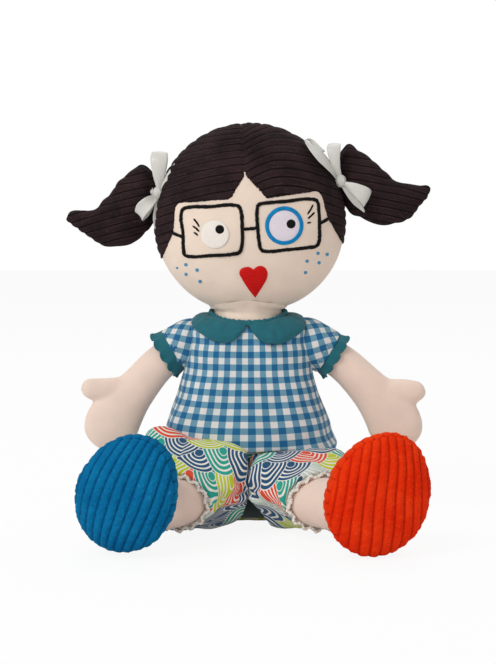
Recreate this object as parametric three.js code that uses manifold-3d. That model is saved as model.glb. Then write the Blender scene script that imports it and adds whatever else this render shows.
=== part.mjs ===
// Sitting plush doll: a stuffed cloth body in sewn clothes, with swivelling limbs.
// Millimetres, +Z up, the face looks along -Y and the doll's left side is +X.
// The origin lies on the flat seat that it sits on, below the middle of the shoulders.

import * as THREE from 'three';
import { mergeVertices } from 'three/addons/utils/BufferGeometryUtils.js';
import Module from 'manifold-3d';

const wasm = await Module();
wasm.setup();

const degrees = (value) => THREE.MathUtils.degToRad(value);

// Cloth, thread and clearances
const seamGap = 0.3; // between pieces that are sewn or stacked together
const swivelGap = 0.65; // round a stuffed root that turns in its socket
const sweepGap = 1.5; // round the path of a limb
const clothThickness = 2.2;
const stitchHeight = 1;
const weldDistance = 0.0005;
const overrun = 40; // how far a cutting form runs past what it cuts

// Torso
const torsoHeight = 159;
const torsoHalfWidth = 59;
const torsoFrontDepth = 44;
const torsoBackDepth = 44;
const hemHeight = 76;
const waistHeight = 90;
const blouseLooseHeight = 103; // the blouse stands clear of the shorts below this
const blouseCloseHeight = 123; // and lies close on the chest above this
const sideSeamPlace = 2;
const elasticWidth = 6;
const elasticThickness = 0.9;
const beanBagHeight = 26;
const beanBagHalfWidth = 35;
const beanBagHalfDepth = 19;
const beanBagPlace = 19;

// Neck and collar
const neckRadius = 24.5;
const neckPivotHeight = 150;
const neckTopHeight = 178;
const neckPlace = 2;
const collarReach = 46.5;
const collarLowHeight = 143;
const collarNotchHeight = 156.5;
const bindingThickness = 4.4;
const bindingHalfWidth = 30;
const bindingHalfDepth = 31;
const bindingHeight = 165;
const bindingFrontDip = 9;

// Head
const headHeight = 238.5;
const headSide = 1.5;
const headHalfWidth = 75;
const headHalfDepth = 52;
const crownHeight = 77;
const chinDepth = 71.5;
const headTilt = degrees(-4.4);
const hairThickness = 3;
const faceSeamPlace = 6; // where the face panel meets the back of the head

// Face embroidery, from the middle of the face
const faceMiddle = -1.2;
const lensHalfWidth = 22.5;
const lensHalfHeight = 18.5;
const lensSide = 30.2;
const lensUp = -2.9;
const lensCornerRadius = 6.5;
const threadWidth = 2.3;
const eyeSide = 26.8;
const eyeUp = -4;
const eyeRadius = 10.2;
const ringRadius = 14.6;
const ringWidth = 3;
const pupilRadius = 3.4;
const pupilSide = 4.2;
const pupilUp = 2.3;
const heartHalfWidth = 10.6;
const heartHeight = 24.5;
const heartUp = -45;

// Pigtails and ribbons, in the head's own upright frame
const pigtailSide = 67;
const pigtailUp = 28;
const pigtailPlace = 5;
const pigtailRootRadius = 9;
const pigtailReach = 79;
const pigtailHalfWidth = 27;
const pigtailHalfDepth = 15;
const pigtailSag = 24;
const ribbonWidth = 10;
const ribbonThickness = 1;
const bandStart = 6.5;
const bandWidth = 6;
const knotRadius = 4.5;
const loopLength = 27;
const outerLoopLength = 20;
const loopFatness = 7;
const tailLength = 27;

// Arms
const shoulderSide = 50;
const shoulderHeight = 138;
const shoulderRadius = 17.5;
const armReach = 63;
const armDrop = 84;
const armForward = 15;
const armHalfWidth = 15;
const armHalfDepth = 12.5;
const handRounding = 18;
const thumbRadius = 8;
const thumbLength = 27;
const sleeveLength = 13.6;
const sleeveDrop = degrees(31);
const cuffWidth = 8.5;
const cuffScallops = 9;
const scallopDepth = 1.6;

// Legs and feet
const hipSide = 38;
const hipPlace = 34;
const hipHeight = 35;
const thighRadius = 27;
const shortsRadius = 34;
const shortsLegLength = 46;
const legReach = 104;
const legHalfWidth = 21.5;
const legSplay = degrees(24);
const laceWidth = 7;
const laceWaves = 14;
const laceDepth = 1.6;
const footHalfWidth = 38;
const footHalfLength = 45;
const footDepth = 44;
const footTilt = degrees(18);
const footTurn = degrees(12);
const soleReach = 127;

// How far the joints turn, in degrees
const armLimits = [-8, 50];
const legLimits = [-60, 15];
const pigtailLimits = [-10, 20];
const nodLimits = [-8, 10];

// Colours of the cloth and thread
const skinColour = 0xe6d3be;
const hairColour = 0x2a2123;
const threadColour = 0x14110f;
const whiteColour = 0xf2efe9;
const ringColour = 0x1c8fd0;
const heartColour = 0xc8140f;
const tealColour = 0x22707c;
const ginghamColour = 0x4f93bb;
const printColour = 0xcfd4b0;
const laceColour = 0xe6ded0;
const ribbonColour = 0xe4e3da;
const rightFootColour = 0x0f6fae;
const leftFootColour = 0xea3b10;
const canvasColour = 0xd9cfbd;

const xAxis = new THREE.Vector3(1, 0, 0);
const yAxis = new THREE.Vector3(0, 1, 0);
const zAxis = new THREE.Vector3(0, 0, 1);
const doll = new THREE.Group();

// From three.js geometry to a solid, and back
function solidOf(geometry) {
  const bare = geometry.index ? geometry.toNonIndexed() : geometry.clone();
  for (const name of Object.keys(bare.attributes)) {
    if (name !== 'position') bare.deleteAttribute(name);
  }
  const welded = mergeVertices(bare, weldDistance);
  const places = welded.attributes.position.array;
  const corners = welded.index.array;
  const faces = [];
  const [a, b, c] = [new THREE.Vector3(), new THREE.Vector3(), new THREE.Vector3()];
  let volume = 0;
  for (let i = 0; i < corners.length; i += 3) {
    const [p, q, r] = corners.slice(i, i + 3);
    if (p === q || q === r || r === p) continue;
    faces.push(p, q, r);
    a.fromArray(places, 3 * p);
    b.fromArray(places, 3 * q);
    c.fromArray(places, 3 * r);
    volume += a.dot(b.cross(c));
  }
  if (volume < 0) faces.reverse();
  return new wasm.Manifold(new wasm.Mesh({
    numProp: 3,
    vertProperties: new Float32Array(places),
    triVerts: new Uint32Array(faces),
  }));
}

function addPiece(name, solid, colour, roughness = 0.9) {
  const mesh = solid.getMesh();
  const geometry = new THREE.BufferGeometry();
  geometry.setAttribute('position', new THREE.BufferAttribute(mesh.vertProperties, 3));
  geometry.setIndex(new THREE.BufferAttribute(mesh.triVerts, 1));
  geometry.computeVertexNormals();
  const material = new THREE.MeshStandardMaterial({ color: colour, roughness, metalness: 0 });
  const piece = new THREE.Mesh(geometry, material);
  piece.name = name;
  doll.add(piece);
}

// A form through rings of points: closed by a fan at each end, or joined into a loop
function formThrough(rings, isLoop = false) {
  const count = rings[0].length;
  const places = rings.flat().flatMap((point) => point.toArray());
  const index = [];
  const lastRing = isLoop ? rings.length : rings.length - 1;
  for (let r = 0; r < lastRing; r += 1) {
    const next = (r + 1) % rings.length;
    for (let i = 0; i < count; i += 1) {
      const j = (i + 1) % count;
      const [a, b, c, d] = [r * count + i, r * count + j, next * count + j, next * count + i];
      index.push(a, b, c, a, c, d);
    }
  }
  if (!isLoop) {
    for (const [ring, isFirst] of [[0, true], [rings.length - 1, false]]) {
      const middle = new THREE.Vector3();
      rings[ring].forEach((point) => middle.addScaledVector(point, 1 / count));
      const hub = places.length / 3;
      places.push(...middle.toArray());
      for (let i = 0; i < count; i += 1) {
        const j = (i + 1) % count;
        const [near, far] = isFirst ? [j, i] : [i, j];
        index.push(hub, ring * count + near, ring * count + far);
      }
    }
  }
  const geometry = new THREE.BufferGeometry();
  geometry.setAttribute('position', new THREE.Float32BufferAttribute(places, 3));
  geometry.setIndex(index);
  return solidOf(geometry);
}

// A point of a rounded section: fullness 2 gives an ellipse, more is squarer
function roundedPoint(turn, halfWidth, halfDepth, fullness) {
  const [c, s] = [Math.cos(turn), Math.sin(turn)];
  const power = 2 / fullness;
  return [
    halfWidth * Math.sign(c) * Math.abs(c) ** power,
    halfDepth * Math.sign(s) * Math.abs(s) ** power,
  ];
}

// A stuffed tube: its stations say where its middle runs and how wide and thick it is
const endRoundingShares = [0.06, 0.33, 0.68];

function stuffedTube({ stations, side, sides, steps, startRounding, endRounding }, grow = 0) {
  const route = new THREE.CatmullRomCurve3(stations.map(({ at }) => at), false, 'centripetal');
  const sizes = new THREE.CatmullRomCurve3(
    stations.map(({ wide, thick }) => new THREE.Vector3(wide, thick, 0)), false, 'centripetal');
  const length = route.getLength();
  const [start, end] = [startRounding + grow, endRounding + grow];
  const easing = endRoundingShares.map((share) => 1 - Math.cos(share * Math.PI / 2));
  const places = [
    ...easing.map((share) => start * share - grow),
    ...Array.from({ length: steps + 1 }, (_, i) => (
      startRounding + (length - startRounding - endRounding) * i / steps)),
    ...easing.map((share) => length + grow - end * share).reverse(),
  ];
  return formThrough(places.map((place) => {
    const share = THREE.MathUtils.clamp(place / length, 0, 1);
    const t = route.getUtoTmapping(share);
    const along = route.getTangent(t);
    const middle = route.getPoint(t).addScaledVector(along, place - share * length);
    const size = sizes.getPoint(t);
    const fromStart = 1 - Math.min(1, (place + grow) / start);
    const fromEnd = 1 - Math.min(1, (length + grow - place) / end);
    const rounding = Math.sqrt((1 - fromStart ** 2) * (1 - fromEnd ** 2));
    const upward = side.clone().addScaledVector(along, -side.dot(along)).normalize();
    const across = along.clone().cross(upward);
    return Array.from({ length: sides }, (_, i) => {
      const turn = 2 * Math.PI * i / sides;
      const [u, v] = roundedPoint(turn, size.x + grow, size.y + grow, 2);
      return middle.clone().addScaledVector(across, u * rounding).addScaledVector(upward, v * rounding);
    });
  }));
}

// A ball whose facets run round a joint's axis, so that it turns freely in a matching socket
function ball(centre, radius, pole, sides) {
  const geometry = new THREE.SphereGeometry(radius, sides, sides / 2);
  geometry.applyQuaternion(new THREE.Quaternion().setFromUnitVectors(yAxis, pole));
  geometry.translate(centre.x, centre.y, centre.z);
  return solidOf(geometry);
}

function uprightCylinder(radius, low, high, sides = 20) {
  const geometry = new THREE.CylinderGeometry(radius, radius, high - low, sides);
  geometry.rotateX(Math.PI / 2);
  geometry.translate(0, neckPlace, (high + low) / 2);
  return solidOf(geometry);
}

function block(low, high) {
  const size = new THREE.Vector3().subVectors(high, low);
  const geometry = new THREE.BoxGeometry(size.x, size.y, size.z);
  geometry.translate((high.x + low.x) / 2, (high.y + low.y) / 2, (high.z + low.z) / 2);
  return solidOf(geometry);
}

// Everything between two heights, and everything on one side of an upright plane
const reach = torsoHeight + crownHeight + chinDepth;
const between = (low, high) => block(
  new THREE.Vector3(-reach, -reach, low), new THREE.Vector3(reach, reach, high));
const beyondX = (place, sign) => block(
  new THREE.Vector3(sign > 0 ? place : -reach, -reach, -reach),
  new THREE.Vector3(sign > 0 ? reach : place, reach, reach));
const beyondY = (place, sign) => block(
  new THREE.Vector3(-reach, sign > 0 ? place : -reach, -reach),
  new THREE.Vector3(reach, sign > 0 ? reach : place, reach));

// Everything past a slanted plane
function past(point, normal) {
  const geometry = new THREE.BoxGeometry(reach, reach, reach);
  geometry.translate(0, 0, reach / 2);
  geometry.applyQuaternion(new THREE.Quaternion().setFromUnitVectors(zAxis, normal));
  geometry.translate(point.x, point.y, point.z);
  return solidOf(geometry);
}

// An outline drawn in the front view, as a solid from one depth to another
function throughFront(shape, front, back, curveSteps = 4) {
  const geometry = new THREE.ExtrudeGeometry(shape, {
    depth: back - front, bevelEnabled: false, curveSegments: curveSteps,
  });
  geometry.rotateX(Math.PI / 2);
  geometry.translate(0, back, 0);
  return solidOf(geometry);
}

// An outline drawn in the side view, with Y to its right, from the right side to the left
function throughSide(shape) {
  const geometry = new THREE.ExtrudeGeometry(shape, { depth: 2 * reach, bevelEnabled: false });
  geometry.applyMatrix4(new THREE.Matrix4().makeBasis(yAxis, zAxis, xAxis));
  geometry.translate(-reach, 0, 0);
  return solidOf(geometry);
}

// The space that a solid passes through as its joint turns from one limit to the other
function sweptSpace(solid, pivot, axis, limits, steps) {
  const there = new THREE.Matrix4().makeTranslation(pivot);
  const back = there.clone().invert();
  let space = solid;
  for (let i = 0; i <= steps; i += 1) {
    const angle = degrees(limits[0] + (limits[1] - limits[0]) * i / steps);
    const turn = new THREE.Matrix4().makeRotationAxis(axis, angle);
    space = space.add(solid.transform(there.clone().multiply(turn).multiply(back).elements));
  }
  return space;
}

// The places of the joints: sign is -1 for the doll's right side and 1 for its left
const bothSides = [['right', -1], ['left', 1]];
const toSide = (sign, x, y, z) => new THREE.Vector3(sign * x, y, z);
const shoulderAt = (sign) => toSide(sign, shoulderSide, 0, shoulderHeight);
const hipAt = (sign) => toSide(sign, hipSide, -hipPlace, hipHeight);
const pigtailRootAt = (sign) => toSide(sign, pigtailSide, pigtailPlace, pigtailUp);
const liftAxis = (sign) => yAxis.clone().multiplyScalar(-sign);
const legAxis = xAxis.clone().negate();
const neckPivot = new THREE.Vector3(0, neckPlace, neckPivotHeight);
const neckBall = (grow) => ball(neckPivot, neckRadius + grow, xAxis, 20);
const shoulderBall = (sign, radius) => ball(shoulderAt(sign), radius, yAxis, 18);
const hipBall = (sign, radius) => ball(hipAt(sign), radius, xAxis, 20);
const pigtailBall = (sign, grow) => ball(pigtailRootAt(sign), pigtailRootRadius + grow, yAxis, 12);

// Torso form, as shares of its height, half width, front depth and back depth
const torsoShares = [
  [0.00, 0.80, 0.26, 0.94],
  [0.04, 0.93, 0.42, 1.06],
  [0.12, 1.01, 0.62, 1.14],
  [0.28, 1.04, 0.90, 1.14],
  [0.48, 1.02, 1.03, 1.00],
  [0.63, 0.93, 0.96, 0.86],
  [0.76, 0.85, 0.86, 0.77],
  [0.90, 0.79, 0.72, 0.69],
  [0.985, 0.70, 0.54, 0.61],
  [1.00, 0.62, 0.44, 0.55],
];
const torsoFullness = 2.5;
const torsoSides = 20;
const seatRise = clothThickness + seamGap;

// The torso form with cloth standing off it: offAt gives how far at each height
function torsoForm(offAt) {
  const top = torsoShares.length - 1;
  return formThrough(torsoShares.map(([up, wide, front, back], row) => {
    const level = seatRise + up * (torsoHeight - seatRise);
    const off = offAt(level);
    const shoulderShare = THREE.MathUtils.clamp((row - top + 3) / 3, 0, 1);
    const height = level + off * shoulderShare - (row === 0 ? off : 0);
    return Array.from({ length: torsoSides }, (_, i) => {
      const turn = 2 * Math.PI * i / torsoSides;
      const depth = torsoFrontOrBack(turn, front * torsoFrontDepth, back * torsoBackDepth);
      const [x, y] = roundedPoint(turn, wide * torsoHalfWidth + off, depth + off, torsoFullness);
      return new THREE.Vector3(x, y, height);
    });
  }));
}

function torsoFrontOrBack(turn, front, back) {
  return Math.sin(turn) < 0 ? front : back;
}

const allOver = (off) => () => off;

// The blouse hangs clear of the shorts' waist and lies close on the chest
function blouseOff(level) {
  const closeness = THREE.MathUtils.smoothstep(level, blouseLooseHeight, blouseCloseHeight);
  return seamGap + (1 - closeness) * seatRise;
}

const blouseOuter = (level) => blouseOff(level) + clothThickness;
const collarInner = (level) => blouseOuter(level) + seamGap;
const collarOuter = (level) => collarInner(level) + clothThickness;

// Head form, in the head's own upright frame
const headRings = 11;
const headSides = 20;
const jawShare = 0.85;
const headFullness = 2.15;
const headCentre = new THREE.Vector3(headSide, 0, headHeight);
const headFrame = new THREE.Matrix4().makeTranslation(headCentre)
  .multiply(new THREE.Matrix4().makeRotationY(headTilt));
const inHead = (solid) => solid.transform(headFrame.elements);

function headForm(grow) {
  return formThrough(Array.from({ length: headRings }, (_, row) => {
    const turn = Math.PI * ((row + 0.5) / headRings - 0.5);
    const up = Math.sin(turn) * ((turn > 0 ? crownHeight : chinDepth) + grow);
    const round = Math.cos(turn) ** (turn > 0 ? 1 : jawShare);
    return Array.from({ length: headSides }, (_unused, i) => {
      const [x, y] = roundedPoint(2 * Math.PI * i / headSides,
        (headHalfWidth + grow) * round, (headHalfDepth + grow) * round, headFullness);
      return new THREE.Vector3(x, y, up);
    });
  }));
}

// Arm with its mitten hand: shares of reach, drop, forward bend and the two half widths
const armShares = [
  [0, 0, 0, 1.00, 1.18],
  [0.19, 0.085, 0.07, 0.98, 1.12],
  [0.35, 0.18, 0.2, 0.97, 1.08],
  [0.60, 0.37, 0.47, 1.07, 1.04],
  [0.81, 0.56, 0.67, 1.30, 1.04],
  [0.94, 0.74, 0.87, 1.42, 1.00],
  [1, 1, 1, 1.16, 0.80],
];
const palmStation = 5;

function armForm(sign, grow) {
  const shoulder = shoulderAt(sign);
  const stations = armShares.map(([out, down, forward, wide, thick]) => ({
    at: shoulder.clone().add(toSide(sign, out * armReach, -forward * armForward, -down * armDrop)),
    wide: wide * armHalfWidth,
    thick: thick * armHalfDepth,
  }));
  const arm = stuffedTube({
    stations, side: yAxis, sides: 12, steps: 4, startRounding: shoulderRadius / 2, endRounding: handRounding,
  }, grow);
  const palm = stations[palmStation].at.clone().add(new THREE.Vector3(0, 0, thumbLength));
  const tip = palm.clone().add(toSide(sign, thumbLength, 0, 0));
  const thumb = stuffedTube({
    stations: [palm, tip].map((at) => ({ at, wide: thumbRadius, thick: thumbRadius })),
    side: yAxis, sides: 8, steps: 1, startRounding: thumbRadius, endRounding: thumbRadius,
  }, grow);
  return arm.add(thumb).add(ball(shoulder, shoulderRadius + grow, yAxis, 12));
}

// Sleeve: a short tube that starts as a ball round the shoulder
const sleeveRadius = shoulderRadius + seamGap + clothThickness;
const sleeveHemRadius = armHalfWidth + seamGap + clothThickness;
const sleeveDirection = (sign) => toSide(sign, Math.cos(sleeveDrop), 0, -Math.sin(sleeveDrop));

function sleeveForm(sign, grow) {
  const shoulder = shoulderAt(sign);
  const along = sleeveDirection(sign);
  const hem = shoulder.clone().addScaledVector(along, sleeveLength);
  const stations = [
    { at: shoulder, wide: sleeveRadius, thick: sleeveRadius },
    { at: hem, wide: sleeveHemRadius, thick: sleeveHemRadius },
    { at: hem.clone().addScaledVector(along, sleeveRadius), wide: sleeveHemRadius, thick: sleeveHemRadius },
  ];
  const tube = stuffedTube({
    stations, side: yAxis, sides: 14, steps: 2, startRounding: sleeveRadius, endRounding: clothThickness,
  }, grow);
  return tube.add(shoulderBall(sign, sleeveRadius + grow))
    .subtract(past(hem.clone().addScaledVector(along, grow), along));
}

// The band of a cuff or frill: rays run round its middle line
function bandForm(start, along, count, sectionAt) {
  const upright = Math.abs(along.z) > Math.abs(along.x) ? xAxis : zAxis;
  const across = along.clone().cross(upright).normalize();
  const other = along.clone().cross(across);
  return formThrough(Array.from({ length: count }, (_, i) => {
    const turn = 2 * Math.PI * i / count;
    const ray = across.clone().multiplyScalar(Math.cos(turn)).addScaledVector(other, Math.sin(turn));
    return sectionAt(turn).map(([radius, far]) => (
      start.clone().addScaledVector(ray, radius).addScaledVector(along, far)));
  }), true);
}

// Cuff with a scalloped edge
function cuffForm(sign, grow) {
  const along = sleeveDirection(sign);
  const start = shoulderAt(sign).addScaledVector(along, sleeveLength + seamGap - grow);
  const inner = sleeveHemRadius - 2 * clothThickness - grow;
  const outer = sleeveHemRadius + grow;
  return bandForm(start, along, cuffScallops * 2, (turn) => {
    const wave = Math.abs(Math.sin(turn * cuffScallops / 2));
    const far = cuffWidth - scallopDepth * (1 - wave) + 2 * grow;
    return [[inner, 0], [outer, 0], [outer, far], [inner, far]];
  });
}

// Leg: shares of reach, hip height and the two half widths
const legShares = [
  [0, 1.0, 1.2, 1.2],
  [0.3, 0.82, 1.0, 1.0],
  [0.55, 0.72, 0.93, 0.93],
  [0.8, 0.74, 0.95, 0.95],
  [1, 0.88, 0.9, 0.9],
];
const legDirection = (sign) => toSide(sign, Math.sin(legSplay), -Math.cos(legSplay), 0);

function legForm(sign, grow) {
  const hip = hipAt(sign);
  const stations = legShares.map(([out, up, wide, thick]) => ({
    at: hip.clone().setZ(up * hipHeight).addScaledVector(legDirection(sign), out * legReach),
    wide: wide * legHalfWidth,
    thick: thick * legHalfWidth,
  }));
  return stuffedTube({
    stations, side: zAxis, sides: 14, steps: 4, startRounding: thighRadius / 2, endRounding: legHalfWidth / 2,
  }, grow).add(ball(hip, thighRadius + grow, xAxis, 12));
}

// Leg of the shorts: a puffed tube that starts as a ball round the hip
const shortsShares = [
  [0, 1.0, 1.0],
  [0.45, 0.88, 0.94],
  [1, 0.78, 0.75],
  [1.5, 0.76, 0.73],
];
const shortsHem = 2;

function shortsStations(sign) {
  return shortsShares.map(([out, up, wide]) => ({
    at: hipAt(sign).setZ(up * hipHeight).addScaledVector(legDirection(sign), out * shortsLegLength),
    wide: wide * shortsRadius,
    thick: wide * shortsRadius,
  }));
}

function shortsLegForm(sign, grow) {
  const stations = shortsStations(sign);
  const along = legDirection(sign);
  const end = stations[shortsHem].at.clone().addScaledVector(along, grow);
  return stuffedTube({
    stations, side: zAxis, sides: 16, steps: 2, startRounding: shortsRadius, endRounding: clothThickness,
  }, grow).add(hipBall(sign, shortsRadius + grow)).subtract(past(end, along));
}

// Lace frill in even waves
function laceForm(sign, grow) {
  const hem = shortsStations(sign)[shortsHem];
  const along = legDirection(sign);
  const start = hem.at.clone().addScaledVector(along, seamGap - grow);
  const middle = hem.wide - laceDepth;
  const half = clothThickness / 2 + grow;
  return bandForm(start, along, laceWaves * 2, (turn) => {
    const flare = middle + laceDepth * Math.cos(turn * laceWaves);
    const far = laceWidth + 2 * grow;
    return [[middle - half, 0], [middle + half, 0], [flare + half, far], [flare - half, far]];
  });
}

// Foot: a fat oval slipper whose sole faces forward
const footShares = [
  [0, 0.62, 0.56],
  [0.25, 0.86, 0.82],
  [0.55, 1.0, 1.0],
  [0.85, 0.97, 0.97],
  [1, 0.93, 0.93],
];

function footForm(sign, grow) {
  const upward = new THREE.Vector3(Math.sin(footTilt), 0, Math.cos(footTilt));
  const facing = toSide(sign, Math.sin(footTurn), -Math.cos(footTurn), 0);
  const halfHeight = Math.hypot(
    footHalfLength * Math.cos(footTilt), footHalfWidth * Math.sin(footTilt));
  const sole = hipAt(sign).setZ(halfHeight + seamGap)
    .addScaledVector(legDirection(sign), soleReach);
  const stations = footShares.map(([forward, wide, thick]) => ({
    at: sole.clone().addScaledVector(facing, (forward - 1) * footDepth),
    wide: wide * footHalfWidth,
    thick: thick * footHalfLength,
  }));
  return stuffedTube({
    stations, side: upward, sides: 18, steps: 3, startRounding: footDepth / 4, endRounding: footDepth / 4,
  }, grow);
}

// Pigtail: shares of reach and sag, then of the two half widths
const pigtailShares = [
  [0, 0, 0.30, 0.52],
  [0.15, 0.05, 0.30, 0.52],
  [0.21, 0.14, 0.66, 0.80],
  [0.30, 0.32, 0.98, 1.0],
  [0.47, 0.68, 0.90, 0.96],
  [0.65, 0.98, 0.62, 0.72],
  [0.81, 0.92, 0.38, 0.5],
  [1, 0.63, 0.16, 0.25],
];

function pigtailForm(sign, grow) {
  const root = pigtailRootAt(sign);
  const stations = pigtailShares.map(([out, down, wide, thick]) => ({
    at: root.clone().add(toSide(sign, out * pigtailReach, 0, -down * pigtailSag)),
    wide: wide * pigtailHalfWidth,
    thick: thick * pigtailHalfDepth,
  }));
  return stuffedTube({
    stations, side: yAxis, sides: 12, steps: 6, startRounding: pigtailRootRadius / 2, endRounding: pigtailRootRadius,
  }, grow);
}

// Space kept free for the moving limbs: plain tubes swept about one ball at the root
function sleevePath(sign) {
  const shoulder = shoulderAt(sign);
  const along = sleeveDirection(sign);
  const hem = shoulder.clone().addScaledVector(along, sleeveLength);
  const end = hem.clone().addScaledVector(along, cuffWidth + seamGap);
  const inside = shoulder.clone().addScaledVector(along, shoulderRadius / 2);
  const stations = [[inside, sleeveRadius - seamGap], [hem, sleeveHemRadius], [end, sleeveHemRadius]];
  return stuffedTube({
    stations: stations.map(([at, radius]) => ({ at, wide: radius, thick: radius })),
    side: yAxis, sides: 12, steps: 1, startRounding: seamGap, endRounding: seamGap,
  }, sweepGap);
}

function shortsPath(sign) {
  const [hip, knee, hem] = shortsStations(sign);
  const inside = { at: hip.at.clone().lerp(knee.at, 0.35), wide: knee.wide, thick: knee.thick };
  return stuffedTube({
    stations: [inside, knee, hem], side: zAxis, sides: 16, steps: 1, startRounding: seamGap, endRounding: seamGap,
  }, sweepGap);
}

const nodSpread = (bindingHeight - neckPivotHeight) * Math.sin(degrees(nodLimits[1]));
let limbSpace = neckBall(swivelGap)
  .add(uprightCylinder(neckRadius + nodSpread + swivelGap, neckPivotHeight, torsoHeight + overrun));
for (const [, sign] of bothSides) {
  const sleeve = sweptSpace(sleevePath(sign), shoulderAt(sign), liftAxis(sign), armLimits, 1);
  const shorts = sweptSpace(shortsPath(sign), hipAt(sign), legAxis, legLimits, 1);
  limbSpace = limbSpace.add(sleeve).add(shorts)
    .add(shoulderBall(sign, sleeveRadius + swivelGap))
    .add(hipBall(sign, shortsRadius + swivelGap));
}

// Stuffed torso with a pocket for the bean bag, open below
function beanBagForm(grow) {
  const geometry = new THREE.SphereGeometry(1, 14, 8);
  geometry.rotateX(Math.PI / 2);
  geometry.scale(beanBagHalfWidth + grow, beanBagHalfDepth + grow, beanBagHeight + grow);
  geometry.translate(0, beanBagPlace, seatRise);
  return solidOf(geometry);
}

const beanBag = beanBagForm(0).intersect(between(seatRise, torsoHeight));
addPiece('seat_bean_bag', beanBag, canvasColour);
const torsoBody = torsoForm(allOver(0)).subtract(beanBagForm(seamGap))
  .subtract(bindingForm(seamGap)).subtract(limbSpace);
addPiece('torso_body', torsoBody, skinColour);

// Seat of the shorts with its elastic waist
const elasticHigh = waistHeight - clothThickness;
const elasticLow = elasticHigh - elasticWidth;
const shortsSeat = torsoForm(allOver(seatRise))
  .subtract(torsoForm(allOver(seamGap)).add(between(waistHeight, reach)))
  .subtract(torsoForm(allOver(elasticThickness + 2 * seamGap))
    .intersect(between(elasticLow - seamGap, elasticHigh + seamGap)))
  .subtract(limbSpace);
const elastic = torsoForm(allOver(elasticThickness + seamGap)).subtract(torsoForm(allOver(seamGap)))
  .intersect(between(elasticLow, elasticHigh)).subtract(limbSpace);
addPiece('shorts_seat', shortsSeat, printColour);
addPiece('waist_elastic', elastic, whiteColour);

// Neck binding, which dips at the front
function bindingForm(grow) {
  const sections = Array.from({ length: 20 }, (_, i) => {
    const turn = 2 * Math.PI * i / 20;
    const out = new THREE.Vector3(Math.sin(turn), -Math.cos(turn), 0);
    const dip = bindingFrontDip * Math.max(0, Math.cos(turn)) ** 1.5;
    const middle = new THREE.Vector3(
      out.x * bindingHalfWidth, neckPlace + out.y * bindingHalfDepth, bindingHeight - dip);
    return Array.from({ length: 6 }, (_unused, k) => {
      const round = 2 * Math.PI * k / 6;
      const radius = bindingThickness / 2 + grow;
      return middle.clone().addScaledVector(out, radius * Math.cos(round))
        .addScaledVector(zAxis, radius * Math.sin(round));
    });
  });
  return formThrough(sections, true);
}

addPiece('neck_binding', bindingForm(0), tealColour);

// Blouse: one front panel, and two back panels that meet at the middle
const blouse = torsoForm(blouseOuter).subtract(torsoForm(blouseOff))
  .intersect(between(hemHeight, reach)).subtract(limbSpace).subtract(bindingForm(seamGap));
const blouseBack = blouse.intersect(beyondY(sideSeamPlace + seamGap, 1));
addPiece('blouse_front', blouse.intersect(beyondY(sideSeamPlace, -1)), ginghamColour);
for (const [side, sign] of bothSides) {
  addPiece(`blouse_back_${side}`, blouseBack.intersect(beyondX(sign * seamGap / 2, sign)), ginghamColour);
}

// Flat round collar in two halves, drawn from the front
function collarShape(sign) {
  const [wide, low, notch] = [collarReach, collarLowHeight, collarNotchHeight];
  const drop = notch - low;
  const shape = new THREE.Shape();
  shape.moveTo(sign * seamGap / 2, notch);
  shape.bezierCurveTo(sign * wide * 0.12, low + drop * 0.45, sign * wide * 0.25, low, sign * wide * 0.45, low);
  shape.bezierCurveTo(sign * wide * 0.78, low, sign * wide, low + drop * 0.35, sign * wide, notch);
  shape.lineTo(sign * wide, torsoHeight + overrun);
  shape.lineTo(sign * seamGap / 2, torsoHeight + overrun);
  return shape;
}

const collarShell = torsoForm(collarOuter).subtract(torsoForm(collarInner))
  .subtract(limbSpace).subtract(bindingForm(seamGap));
for (const [side, sign] of bothSides) {
  const half = throughFront(collarShape(sign), -reach, reach);
  addPiece(`collar_${side}`, collarShell.intersect(half), tealColour);
}

// Neck: a ball that nods in the torso, under a post that the head turns on
const neck = neckBall(0)
  .add(uprightCylinder(neckRadius, neckPivotHeight, neckTopHeight));
addPiece('neck', neck, skinColour);

// The face panel's outline: fringe, temples and the points of hair beside the cheeks
const fringePoints = [
  [0, 38], [9, 25.5], [15.5, 20.2], [50, 20.5], [55.5, 16.5], [59.5, 4], [61, -4], [65, -12], [71.3, -21],
];
const fringeShares = fringePoints.map(([side, up]) => [side / headHalfWidth, up / crownHeight]);
const napeShares = [[-0.02, -0.29], [0.88, -0.73], [2, -0.9], [2, -3], [-0.02, -3]];

function faceRegion(margin) {
  const rightEdge = [];
  const leftEdge = [];
  fringeShares.forEach(([sideShare, upShare]) => {
    const point = new THREE.Vector2(sideShare * headHalfWidth, upShare * crownHeight);
    point.addScaledVector(point.clone().normalize(), margin);
    leftEdge.push(new THREE.Vector2(faceMiddle * (1 - sideShare) + point.x, point.y));
    rightEdge.push(new THREE.Vector2(faceMiddle * (1 - sideShare) - point.x, point.y));
  });
  const [tipSide, tipLow] = fringePoints[fringePoints.length - 1];
  const tipUp = tipLow + margin;
  leftEdge[leftEdge.length - 1].set(tipSide, tipUp);
  rightEdge[rightEdge.length - 1].set(-tipSide, tipUp);
  const outline = [
    ...rightEdge.reverse(), ...leftEdge.slice(1),
    new THREE.Vector2(reach, tipUp), new THREE.Vector2(reach, -reach),
    new THREE.Vector2(-reach, -reach), new THREE.Vector2(-reach, tipUp),
  ];
  const nape = napeShares.map(([back, up]) => new THREE.Vector2(
    faceSeamPlace - seamGap + back * headHalfDepth, up * chinDepth + margin));
  return throughFront(new THREE.Shape(outline), -reach, faceSeamPlace)
    .add(throughSide(new THREE.Shape(nape)));
}

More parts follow.
